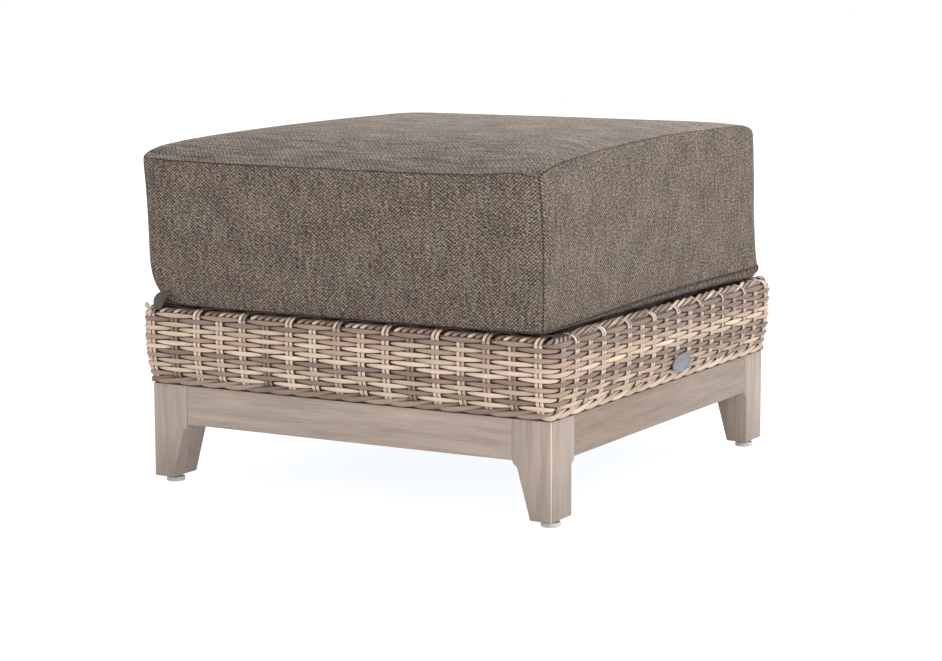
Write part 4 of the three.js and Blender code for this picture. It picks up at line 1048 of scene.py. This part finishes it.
def round_plan(x, y, half, radius):
    """Rounds the corners of nested rectangles: a point keeps its distance from the outline."""
    inset = np.minimum(half[0] - np.abs(x), half[1] - np.abs(y))
    r = np.maximum(radius - inset, 1e-6)
    cx = half[0] - inset - r
    cy = half[1] - inset - r
    rx, ry = np.abs(x) - cx, np.abs(y) - cy
    corner = (rx > 0) & (ry > 0) & (radius - inset > 1e-6)
    lead = np.maximum(rx, ry)
    angle = np.where(rx >= ry, ry / np.maximum(lead, 1e-9), 2 - rx / np.maximum(lead, 1e-9)) * math.pi / 4
    nx = np.where(corner, cx + r * np.cos(angle), np.abs(x))
    ny = np.where(corner, cy + r * np.sin(angle), np.abs(y))
    return np.copysign(nx, x), np.copysign(ny, y)


def cushion_cover(settings):
    """The boxed cover: flat panels sewn along its edges, filled by a cloth simulation."""
    low, high = CUSHION_LOW.copy(), CUSHION_HIGH.copy()
    size = high - low
    planes = [cuts(size.x), cuts(size.y), cuts(size.z, UPRIGHT_SPACING)]
    piece = boxed_mesh("cushion_upholstery", low, high, planes)
    panel_uv(piece)
    co = points(piece)
    centre = (low + high) / 2
    half = (size.x / 2, size.y / 2)
    x, y = co[:, 0] - centre.x, co[:, 1] - centre.y
    t = (co[:, 2] - low.z) / size.z
    from_top, from_low = (1 - t) * size.z, t * size.z
    # In the order of the sides: how far each point is from them, and its share of the way along them.
    distance = np.column_stack([half[1] + y, half[0] - x, half[1] - y, half[0] + x])
    shares = [
        (x + half[0]) / (2 * half[0]), (y + half[1]) / (2 * half[1]),
        (half[0] - x) / (2 * half[0]), (half[1] - y) / (2 * half[1]),
    ]
    top_at = np.column_stack([seam_height(TOP_SEAM, i, shares[i]) for i in range(4)])
    low_at = np.column_stack([seam_height(LOW_SEAM, i, shares[i]) for i in range(4)])
    weight = 1 / np.maximum(distance, 1e-6) ** 2
    weight /= weight.sum(1)[:, None]
    top_edge = (top_at * weight).sum(1)
    low_edge = (low_at * weight).sum(1)
    top = t > 1 - 1e-6
    bottom = t < 1e-6
    side = ~(top | bottom)
    nearest = distance.min(1)
    # The top rises fast behind its seams and slopes gently down to the front.
    rise = np.prod([1 - fading(distance[:, i], TOP_RISE[i]) for i in range(4)], axis=0)
    front = np.clip(distance[:, 0] / CROWN_REACH, 0, 1)
    crown = high.z - CROWN_BELOW - CROWN_FALL * (1 - front) ** 2
    z = np.where(top, crown * rise + top_edge * (1 - rise), co[:, 2])
    # The sides stretch between the two seams.
    z = np.where(side, low_edge + (top_edge - low_edge) * t, z)
    # The bottom bellies down beside its seam, then steps into the opening of the rim.
    belly = np.clip(nearest / BELLY_REACH, 0, 1)
    over_rim = RIM_TOP + OVER_RIM
    step = np.clip((nearest - SEAT_START) / SEAT_STEP, 0, 1)
    step = step * step * (3 - 2 * step)
    under = low_edge + (over_rim - low_edge) * np.sin(belly * math.pi / 2)
    under = under + (low.z + 0.3 * MM - under) * step
    z = np.where(bottom, under, z)
    # Plan: draw-in of the seams between the corners and the rounding under the sides.
    plan_x, plan_y = round_plan(x, y, half, settings.corner_radius)
    mid_x, mid_y = 1 - (x / half[0]) ** 2, 1 - (y / half[1]) ** 2
    # Draw-in at the bottom seam: a little all round, much at the front left corner, none at the back right.
    low_in = np.full(len(co), 2.5)
    for _, draw, first, second in LOW_DRAW:
        low_in += draw * fading(np.hypot(distance[:, first], distance[:, second]), 45)
    profile = np.where(top, 1.5, np.where(bottom, low_in, 0))
    profile = np.where(side, 1.5 * fading(from_top, 9) + low_in * fading(from_low, 24), profile) * MM
    drawn = np.where(top | bottom, 1.0, fading(from_top, 40) + fading(from_low, 40))
    inside = fading(nearest, 60)
    shrink_x = profile * inside + BETWEEN_DRAW * drawn * mid_y * inside
    shrink_y = profile * inside + BETWEEN_DRAW * drawn * mid_x * inside
    plan_x -= shrink_x * np.clip(plan_x / half[0], -1, 1) ** 3
    plan_y -= shrink_y * np.clip(plan_y / half[1], -1, 1) ** 3
    # The top sits a little forward and to the left of the bottom, as if pushed.
    pushed = np.where(bottom, 0, np.where(top, 1, fading(from_top, 70)))
    plan_x = plan_x - TOP_PUSH[0] * pushed * (1 - shares[1] ** 3)
    plan_y = plan_y - TOP_PUSH[1] * pushed * (1 - shares[1])
    # Toward its foot the back right corner settles outward.
    near_corner = fading(np.hypot(distance[:, 1], distance[:, 2]), 40)
    slump = SLUMP * np.clip(1.1 * (1 - t), 0, 1) ** 0.7 * near_corner
    plan_x, plan_y = plan_x + slump, plan_y + slump
    # Just under its seam the bottom panel bulges, so that it hangs nearly upright there.
    for plan, at, reach in ((plan_x, x, half[0]), (plan_y, y, half[1])):
        inset = (reach - np.abs(at)) / MM
        plan += np.where(bottom, np.sign(at) * 0.6 * inset * np.exp(-(inset / 14) ** 2), 0) * MM
    # What lies below the rim's top stays inside its opening.
    seat_x = (SEAT_HALF[0] - abs(centre.x)) / half[0]
    seat_y = (SEAT_HALF[1] - abs(centre.y)) / half[1]
    gather = np.where(bottom, step, 0)
    core_x = np.clip(plan_x, -seat_x * half[0] + 2 * MM, seat_x * half[0] - 2 * MM)
    core_y = np.clip(plan_y, -seat_y * half[1] + 2 * MM, seat_y * half[1] - 2 * MM)
    plan_x = plan_x + (core_x - plan_x) * gather
    plan_y = plan_y + (core_y - plan_y) * gather
    base = np.column_stack([plan_x + centre.x, plan_y + centre.y, z])
    # The distance to the nearest seam is kept for the finish.
    upright = np.where(side, np.sort(distance, axis=1)[:, 1], 1.0)
    to_top = np.where(side, from_top, np.where(top, nearest, 1.0))
    to_low = np.where(side, from_low, np.where(bottom, nearest, 1.0))
    seam = np.minimum(np.minimum(upright, to_top), to_low)
    give_numbers(piece, "seam", seam)
    place_points(piece, base)
    held = (seam < 1e-6) | (bottom & (nearest > 18 * MM))
    filled = filled_by_cloth(piece, held, settings.pressure)
    # The filling lifts each panel no further than its cap: the back is held flat by its zip.
    cap = np.where(top, settings.top_puff, settings.side_puff)
    cap = np.where(bottom, 2.5 * MM, cap)
    flat_back = side & (distance[:, 2] < 1 * MM)
    cap = np.where(flat_back, 1.0 * MM, cap)
    move = filled - base
    far = np.linalg.norm(move, axis=1)
    scale = cap * np.tanh(far / cap) / np.maximum(far, 1e-9)
    base = base + move * scale[:, None]
    # Soft gathers beside the seams.
    pucker = fading(seam, 12) * (1 - fading(seam, 3)) * 0.9 * MM
    wave = np.sin(base[:, 0] * 210 + 3 * np.sin(base[:, 1] * 37))
    wave *= np.sin(base[:, 1] * 190 + 2 * np.sin(base[:, 2] * 41))
    place_points(piece, base)
    normals = rows_of(piece.data.vertices, "normal")
    groove = np.where(seam < 1e-6, 1.3 * MM, 0)
    quiet = np.where(held, 0, 1)
    base = base + normals * (pucker * wave * quiet - groove)[:, None]
    place_points(piece, base)
    apply_modifier(piece, "SUBSURF", levels=1, render_levels=1)
    smooth(piece)
    dress(piece, "cushion", "fabric", slot="cushion_fabric", replaces=["cushion_cover"])
    return piece


CLOTH = {
    "vertex_group_mass": "held", "use_pressure": True, "quality": 4, "mass": 0.4,
    "tension_stiffness": 25, "compression_stiffness": 25, "shear_stiffness": 12, "bending_stiffness": 2,
}
CLOTH_STEPS = 20


def filled_by_cloth(piece, held, pressure):
    """Where the vertices go when the cover is blown up with its seams held."""
    scene = bpy.context.scene
    before = set(bpy.data.objects)
    copy = piece.copy()
    copy.data = piece.data.copy()
    scene.collection.objects.link(copy)
    copy.vertex_groups.new(name="held").add([int(i) for i in np.flatnonzero(held)], 1.0, "REPLACE")
    take(copy)
    bpy.ops.object.modifier_add(type="CLOTH")
    cloth = copy.modifiers[-1]
    for name, value in CLOTH.items():
        setattr(cloth.settings, name, value)
    cloth.settings.uniform_pressure_force = pressure
    cloth.settings.effector_weights.gravity = 0
    cloth.collision_settings.use_collision = False
    cloth.collision_settings.use_self_collision = False
    cloth.point_cache.frame_start = 1
    cloth.point_cache.frame_end = CLOTH_STEPS
    for step in range(1, CLOTH_STEPS + 1):
        scene.frame_set(step)
    bpy.ops.object.modifier_apply(modifier=cloth.name)
    filled = points(copy)
    for extra in set(bpy.data.objects) - before:
        bpy.data.objects.remove(extra)
    scene.frame_set(1)
    return filled


def foam_core():
    """The foam block inside the cover, with rounded edges and a softly sagging top."""
    low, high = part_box("cushion_core")
    low = low + Vector((22, 22, 26)) * MM
    high = high - Vector((22, 22, 20)) * MM
    piece = boxed_mesh("foam_core", low, high, [cuts(high.x - low.x), cuts(high.y - low.y), []])
    co = points(piece)
    centre = (low + high) / 2
    half = ((high.x - low.x) / 2, (high.y - low.y) / 2)
    x, y = co[:, 0] - centre.x, co[:, 1] - centre.y
    edge = np.minimum(half[0] - np.abs(x), half[1] - np.abs(y))
    top = co[:, 2] > centre.z
    z = co[:, 2] - np.where(top, 26 * MM, -4 * MM) * fading(edge, 26)
    front = np.clip((y + half[1]) / CROWN_REACH, 0, 1)
    z = z - np.where(top, 12 * MM * (1 - front) ** 2, 0)
    nx, ny = round_plan(x, y, half, 16 * MM)
    place_points(piece, np.column_stack([nx + centre.x, ny + centre.y, z]))
    apply_modifier(piece, "SUBSURF", levels=1, render_levels=1)
    smooth(piece)
    dress(piece, "cushion", "foam", slot="cushion_foam", replaces=["cushion_core"])
    return piece


# ---------------------------------------------------------------- hard pieces


def rounded_copy(node, name, offset, outer=None):
    """A copy of a hard CAD piece with its sharp edges rounded; the outer edge may take a second finish, the bright one
    of rubbed paint and painted highlight.
    """
    clear_selection()
    mesh = frame["nodes"][node].data.copy()
    mesh.name = name
    piece = linked(name, mesh)
    mesh.materials.clear()
    take(piece)
    bpy.ops.object.mode_set(mode="EDIT")
    bpy.ops.mesh.select_mode(type="VERT")
    bpy.ops.mesh.select_all(action="SELECT")
    bpy.ops.mesh.remove_doubles(threshold=1e-5)
    bpy.ops.mesh.dissolve_limited(angle_limit=math.radians(1))
    bpy.ops.mesh.customdata_custom_splitnormals_clear()
    leave_edit()
    mesh.materials.append(MATERIALS["paint_z"])
    mesh.materials.append(MATERIALS["paint_wear_and_highlight"])
    # The faces along the outer corner take the bright finish: rubbed paint with a painted highlight.
    if outer is not None:
        rubbed_and_lit = [
            face for face in mesh.polygons
            if abs(face.normal.z) < 0.1 and (face.center.xy - Vector(outer[:2])).length < 1.8 * MM
        ]
        if not rubbed_and_lit:
            raise RuntimeError("no outer edge on " + node)
        for face in rubbed_and_lit:
            face.material_index = 1
    faces_of = {}
    for polygon in mesh.polygons:
        for key in polygon.edge_keys:
            faces_of.setdefault(key, []).append((polygon.normal.copy(), polygon.material_index))
    sharp = {
        key
        for key, faces in faces_of.items()
        if len(faces) == 2
        and not any(index == 1 for _, index in faces)
        and faces[0][0].angle(faces[1][0]) > math.radians(35)
    }
    select_where(piece, "EDGE", lambda edge: tuple(sorted(edge.vertices)) in sharp)
    bpy.ops.mesh.bevel(offset=offset, offset_type="OFFSET", segments=2, affect="EDGES", clamp_overlap=True)
    leave_edit()
    smooth(piece, 35)
    return piece


def painted_frame(settings):
    """Legs and aprons with softened edges and a bright outer corner on each leg, of rubbed paint and a painted
    highlight.
    """
    for corner in CORNERS:
        low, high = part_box("leg_" + corner)
        outer = (high.x if "right" in corner else low.x, high.y if "back" in corner else low.y, 0)
        piece = rounded_copy("leg_" + corner, "cast_leg_" + corner, settings.edge_round, outer)
        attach(piece, "frame")
        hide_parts("leg_" + corner)
    for side in SIDES:
        piece = rounded_copy("apron_" + side, "box_apron_" + side, settings.edge_round)
        paint = "paint_x" if side in ("front", "back") else "paint_y"
        dress(piece, "frame", paint, slot="coated_aluminium", replaces=["apron_" + side])


def glides():
    """Turned nylon pads under the legs: a disc with rounded rims."""
    for corner in CORNERS:
        low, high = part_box("glide_pad_" + corner)
        middle = (low + high) / 2
        clear_selection()
        radius, depth = (high.x - low.x) / 2, high.z - low.z
        bpy.ops.mesh.primitive_cylinder_add(
            vertices=48, radius=radius, depth=depth, location=middle, end_fill_type="NGON"
        )
        piece = named("nylon_glide_" + corner)
        bpy.ops.object.transform_apply(location=True)
        select_where(piece, "FACE", lambda f: f.normal.z > 0.9)
        bpy.ops.mesh.inset(thickness=2.5 * MM)
        leave_edit()
        rim = {
            tuple(sorted(key))
            for polygon in piece.data.polygons
            if abs(polygon.normal.z) < 0.1
            for key in polygon.edge_keys
        }

        def on_rim(edge):
            a, b = (piece.data.vertices[i].co for i in edge.vertices)
            return tuple(sorted(edge.vertices)) in rim and abs(a.z - b.z) < 1e-6

        select_where(piece, "EDGE", on_rim)
        bpy.ops.mesh.bevel(offset=1.3 * MM, segments=4, affect="EDGES")
        leave_edit()
        smooth(piece, 40)
        dress(piece, "glide_" + corner, "nylon", slot="glide_nylon", replaces=["glide_pad_" + corner])


PLATE = (25 * MM, 55 * MM, 1.6 * MM)  # height, length and thickness of the plate
PLATE_RIM = 1.6 * MM
PLATE_STAND = 1.6 * MM  # how far in front of its CAD solid the plate stands, on the woven strands


def oval_plate():
    """A bare oval plate with a raised rim and a faintly raised middle, leaning with the woven face."""
    low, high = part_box("oval_plate")
    middle = (low + high) / 2
    lean = math.atan2(skirt_out(high.z) - skirt_out(low.z), high.z - low.z) * 0.7
    clear_selection()
    bpy.ops.mesh.primitive_cylinder_add(vertices=64, radius=0.5, depth=1, end_fill_type="NGON")
    piece = named("bare_oval_plate")
    edit_all(piece)
    bpy.ops.transform.resize(value=PLATE)
    leave_edit()
    select_where(piece, "FACE", lambda f: f.normal.z > 0.9)
    bpy.ops.mesh.inset(thickness=PLATE_RIM)
    bpy.ops.mesh.inset(thickness=0.7 * MM)
    bpy.ops.transform.translate(value=(0, 0, -0.6 * MM))
    bpy.ops.mesh.inset(thickness=3.5 * MM)
    bpy.ops.transform.translate(value=(0, 0, 0.25 * MM))
    leave_edit()

    def on_outline(edge):
        ends = (piece.data.vertices[i].co for i in edge.vertices)
        return all(abs(math.hypot(v.x / PLATE[0], v.y / PLATE[1]) - 0.5) < 0.005 and v.z > 0 for v in ends)

    select_where(piece, "EDGE", on_outline)
    bpy.ops.mesh.bevel(offset=0.5 * MM, segments=3, affect="EDGES")
    leave_edit()
    smooth(piece, 40)
    piece.data.transform(Matrix.Rotation(math.pi / 2 + lean, 4, "Y"))
    piece.data.transform(Matrix.Translation((high.x + PLATE_STAND, middle.y, middle.z)))
    return dress(piece, "frame", "pewter", slot="pewter_plate", replaces=["oval_plate"])


# The middles of the two tie loops, in metres: a thick rolled one and a thin one.
THICK_LOOP = (
    (-0.264, -0.298, 0.2490), (-0.2715, -0.307, 0.2540), (-0.2775, -0.3155, 0.2565), (-0.2815, -0.3230, 0.2560),
    (-0.2830, -0.3285, 0.2520), (-0.2825, -0.3320, 0.2465), (-0.2818, -0.3345, 0.2415), (-0.2812, -0.3360, 0.2375),
)
THIN_LOOP = (
    (0.256, 0.276, 0.2465), (0.275, 0.294, 0.2520), (0.2880, 0.3065, 0.2600), (0.2935, 0.3115, 0.2625),
    (0.2972, 0.3145, 0.2590), (0.2972, 0.3145, 0.2545), (0.2935, 0.3110, 0.2490), (0.2860, 0.3040, 0.2445),
    (0.272, 0.292, 0.2420),
)


def straps():
    """The two tie loops that hold the cushion at opposite corners."""
    girth = np.interp(np.linspace(0, 1, 28), [0, 0.5, 0.8, 0.93, 1], [0.8, 1.0, 1.0, 0.8, 0.4])
    thick, thin = eased(THICK_LOOP, 28), eased(THIN_LOOP, 30)
    loops = {
        "front_left": (thick, girth * 7.2 * MM, girth * 3.2 * MM, (0.85, 0.5, 0), 14),
        "back_right": (thin, 2.2 * MM, 1.3 * MM, (0.8, 0.6, 0.1), 12),
    }
    for corner, shape in loops.items():
        loop = turned_out(strand("tie_loop_" + corner, *shape))
        smooth(loop)
        dress(loop, "cushion", "webbing", slot="dark_webbing", replaces=["strap_" + corner])


def eased(path, count):
    """A path through the given points, drawn out evenly and softened."""
    path = np.array(path)
    steps = np.r_[0, np.cumsum(np.linalg.norm(np.diff(path, axis=0), axis=1))]
    even = np.linspace(0, steps[-1], count)
    made = np.column_stack([np.interp(even, steps, path[:, i]) for i in range(3)])
    for _ in range(3):
        made[1:-1] = (made[:-2] + 2 * made[1:-1] + made[2:]) / 4
    return made


TOOTH_PITCH = 2.6 * MM


def rounded_block(name, size, middle, rounding, segments):
    """A small box with rounded edges, shaped at its place in edit mode."""
    clear_selection()
    bpy.ops.mesh.primitive_cube_add(size=1, location=(0, 0, 0))
    piece = named(name)
    edit_all(piece)
    bpy.ops.transform.resize(value=size)
    bpy.ops.transform.translate(value=middle)
    bpy.ops.mesh.bevel(offset=rounding, segments=segments, affect="EDGES")
    leave_edit()
    return piece


def zip_parts():
    """The zip: a woven tape with two rows of moulded teeth, and the finish of its slider and pull."""
    low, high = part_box("zip_tape")
    size, middle = high - low, (low + high) / 2
    tape_size, tape_middle = (size.x, 1.4 * MM, size.z), (middle.x, low.y + 0.7 * MM, middle.z)
    tape = rounded_block("zip_tape_woven", tape_size, tape_middle, 0.4 * MM, 2)
    smooth(tape, 40)
    rows = []
    for sign in (-1, 1):
        place = (low.x + (3.6 + 0.65 * sign) * MM, low.y + 1.8 * MM, middle.z + sign * 1.1 * MM)
        tooth = rounded_block("zip_tooth", (1.5 * MM, 1.1 * MM, 3.0 * MM), place, 0.3 * MM, 1)
        arrayed(tooth, (int(size.x / TOOTH_PITCH) - 2, (TOOTH_PITCH, 0, 0)))
        rows.append(tooth)
    dress(tape, "cushion", "webbing", slot="dark_webbing", replaces=["zip_tape"])
    dress(join(rows, "zip_teeth"), "cushion", "teeth", slot="dark_webbing")
    for name in ("zip_slider", "zip_pull"):
        give_material(name, "zinc")


def give_material(node, material):
    """Puts a finish on a CAD piece that stays as it is."""
    data = frame["nodes"][node].data
    data.materials.clear()
    data.materials.append(MATERIALS[material])


def inner_frame():
    """Finishes of the inner tubes, slats, plates and studs, which keep their CAD shapes."""
    for name in frame["nodes"]:
        if name.startswith(("post_", "deck_slat_", "bottom_rail_", "top_rail_", "corner_plate_")):
            give_material(name, "tube")
        if name.startswith("glide_stud_"):
            give_material(name, "zinc")


# ---------------------------------------------------------------- stage


def seen_directly(tree):
    """1 for what the camera sees straight, in metal or through glass, and 0 for light that falls on the object."""
    path = add(tree, "LightPath").outputs
    seen = add(tree, "Math", {0: path["Is Camera Ray"], 1: path["Is Glossy Ray"]}, operation="MAXIMUM")
    return add(tree, "Math", {0: seen, 1: path["Is Transmission Ray"]}, operation="MAXIMUM")


# Name, place, aim, size, and which power and what share of it, for each lamp.
LAMPS = (
    ("overhead_softbox", (0.3, 1.45, 1.75), (0, 0, 0.3), (2.0, 1.4), "key_power", 1.0),
    ("right_softbox", (2.6, -0.6, 0.75), (0, 0, 0.2), (1.6, 1.2), "side_power", 1.0),
    ("front_softbox", (1.5, -2.2, 0.8), (0.2, -0.2, 0.15), (1.1, 1.1), "side_power", 0.8),
)
# The camera, fitted to the corners of the object in the photograph: azimuth, elevation and roll in degrees.
CAMERA_TURN = (29.8, 8.55, -0.18)
CAMERA_PLACE = (1.7241, -3.0036, 0.706)
CAMERA_LENS = 96.65  # mm, on a sensor 36 mm wide


def studio(settings):
    """A white floor that keeps a faint shadow, an even white surround, soft lamps and the camera."""
    scene = bpy.context.scene
    clear_selection()
    bpy.ops.mesh.primitive_plane_add(size=14, location=(0, 0, -0.0002))
    floor = named("floor")
    material, tree = start_material("White studio floor")
    body = add(tree, "BsdfDiffuse", {"Color": (0.8, 0.8, 0.8)})
    glow = add(tree, "Emission", {"Color": (0.945, 0.97, 1.0), "Strength": 0.95})
    pale = add(tree, "BsdfDiffuse", {"Color": (0.35, 0.34, 0.335)})
    lit = add(tree, "AddShader", {0: glow, 1: pale})
    mix = add(tree, "MixShader", {0: seen_directly(tree), 1: body, 2: lit})
    add(tree, "OutputMaterial", {"Surface": mix})
    floor.data.materials.append(material)

    world = bpy.data.worlds.new("White surround")
    scene.world = world
    world.use_nodes = True
    tree = world.node_tree
    tree.nodes.clear()
    even = add(tree, "Background", {"Color": (1, 1, 1), "Strength": settings.world_strength})
    white = add(tree, "Background", {"Color": (1, 1, 1), "Strength": 1.0})
    mix = add(tree, "MixShader", {0: seen_directly(tree), 1: even, 2: white})
    add(tree, "OutputWorld", {"Surface": mix})

    for name, place, aim, size, power_name, part in LAMPS:
        data = bpy.data.lights.new(name, "AREA")
        data.shape = "RECTANGLE"
        data.size, data.size_y = size
        data.energy = getattr(settings, power_name) * part
        lamp = linked(name, data)
        lamp.location = place
        lamp.rotation_mode = "QUATERNION"
        lamp.rotation_quaternion = (Vector(aim) - Vector(place)).to_track_quat("-Z", "Y")

    data = bpy.data.cameras.new("camera")
    data.sensor_width = 36
    data.sensor_fit = "HORIZONTAL"
    data.lens = CAMERA_LENS
    data.clip_start, data.clip_end = 0.05, 60
    camera = linked("camera", data)
    azimuth, elevation, roll = (math.radians(angle) for angle in CAMERA_TURN)
    level = math.cos(elevation)
    back = Vector((math.sin(azimuth) * level, -math.cos(azimuth) * level, math.sin(elevation)))
    right = (-back).cross(Vector((0, 0, 1))).normalized()
    up = right.cross(-back)
    right, up = right * math.cos(roll) + up * math.sin(roll), up * math.cos(roll) - right * math.sin(roll)
    matrix = Matrix((right, up, back)).transposed().to_4x4()
    matrix.translation = CAMERA_PLACE
    camera.matrix_world = matrix
    scene.camera = camera
    scene.view_settings.view_transform = "Standard"


# ---------------------------------------------------------------- add-on parts


class OTTOMAN_OT_weave(bpy.types.Operator):
    """Weaves the skirt of the four sides"""

    bl_idname = "ottoman.weave"
    bl_label = "Woven skirt"

    def execute(self, context):
        for side in range(4):
            woven_side(context.scene.ottoman_wicker, side)
        return {"FINISHED"}


class OTTOMAN_OT_rim(bpy.types.Operator):
    """Wraps the rim of the four sides"""

    bl_idname = "ottoman.rim"
    bl_label = "Wrapped rim"

    def execute(self, context):
        for side in range(4):
            rim_side(side)
        return {"FINISHED"}


class OTTOMAN_OT_border(bpy.types.Operator):
    """Lays the foot border of the four sides"""

    bl_idname = "ottoman.border"
    bl_label = "Foot border"

    def execute(self, context):
        for side in range(4):
            border_side(side)
        return {"FINISHED"}


class OTTOMAN_OT_cushion(bpy.types.Operator):
    """Sews and fills the cushion"""

    bl_idname = "ottoman.cushion"
    bl_label = "Cushion"

    def execute(self, context):
        cushion_cover(context.scene.ottoman_cushion)
        foam_core()
        straps()
        zip_parts()
        return {"FINISHED"}


class OTTOMAN_OT_frame(bpy.types.Operator):
    """Finishes legs, aprons, glides, inner frame and plate"""

    bl_idname = "ottoman.frame"
    bl_label = "Frame"

    def execute(self, context):
        painted_frame(context.scene.ottoman_frame)
        glides()
        oval_plate()
        inner_frame()
        return {"FINISHED"}


class OTTOMAN_OT_stage(bpy.types.Operator):
    """Sets floor, surround, lamps and camera"""

    bl_idname = "ottoman.stage"
    bl_label = "Stage"

    def execute(self, context):
        studio(context.scene.ottoman_stage)
        return {"FINISHED"}


OPERATORS = (
    OTTOMAN_OT_stage,
    OTTOMAN_OT_frame,
    OTTOMAN_OT_weave,
    OTTOMAN_OT_rim,
    OTTOMAN_OT_border,
    OTTOMAN_OT_cushion,
)


class OTTOMAN_PT_panel(bpy.types.Panel):
    """Sizes, colours and steps of the ottoman"""

    bl_label = "Ottoman"
    bl_idname = "OTTOMAN_PT_panel"
    bl_space_type = "VIEW_3D"
    bl_region_type = "UI"
    bl_category = "Ottoman"

    def draw(self, context):
        for name in GROUPS:
            group = getattr(context.scene, name)
            box = self.layout.box()
            for key in group.__annotations__:
                box.prop(group, key)
        for operator in OPERATORS:
            self.layout.operator(operator.bl_idname)


def register():
    """Registers the classes and their settings."""
    for group in (*GROUPS.values(), *OPERATORS, OTTOMAN_PT_panel):
        bpy.utils.register_class(group)
    for name, group in GROUPS.items():
        setattr(bpy.types.Scene, name, PointerProperty(type=group))


def unregister():
    """Removes what register added."""
    for name in GROUPS:
        delattr(bpy.types.Scene, name)
    for group in reversed((*GROUPS.values(), *OPERATORS, OTTOMAN_PT_panel)):
        bpy.utils.unregister_class(group)


def main():
    """Builds the object step by step."""
    register()
    make_materials(bpy.context.scene)
    bpy.ops.ottoman.stage()
    bpy.ops.ottoman.frame()
    bpy.ops.ottoman.weave()
    bpy.ops.ottoman.rim()
    bpy.ops.ottoman.border()
    bpy.ops.ottoman.cushion()
    clear_selection()


if __name__ == "__main__":
    main()
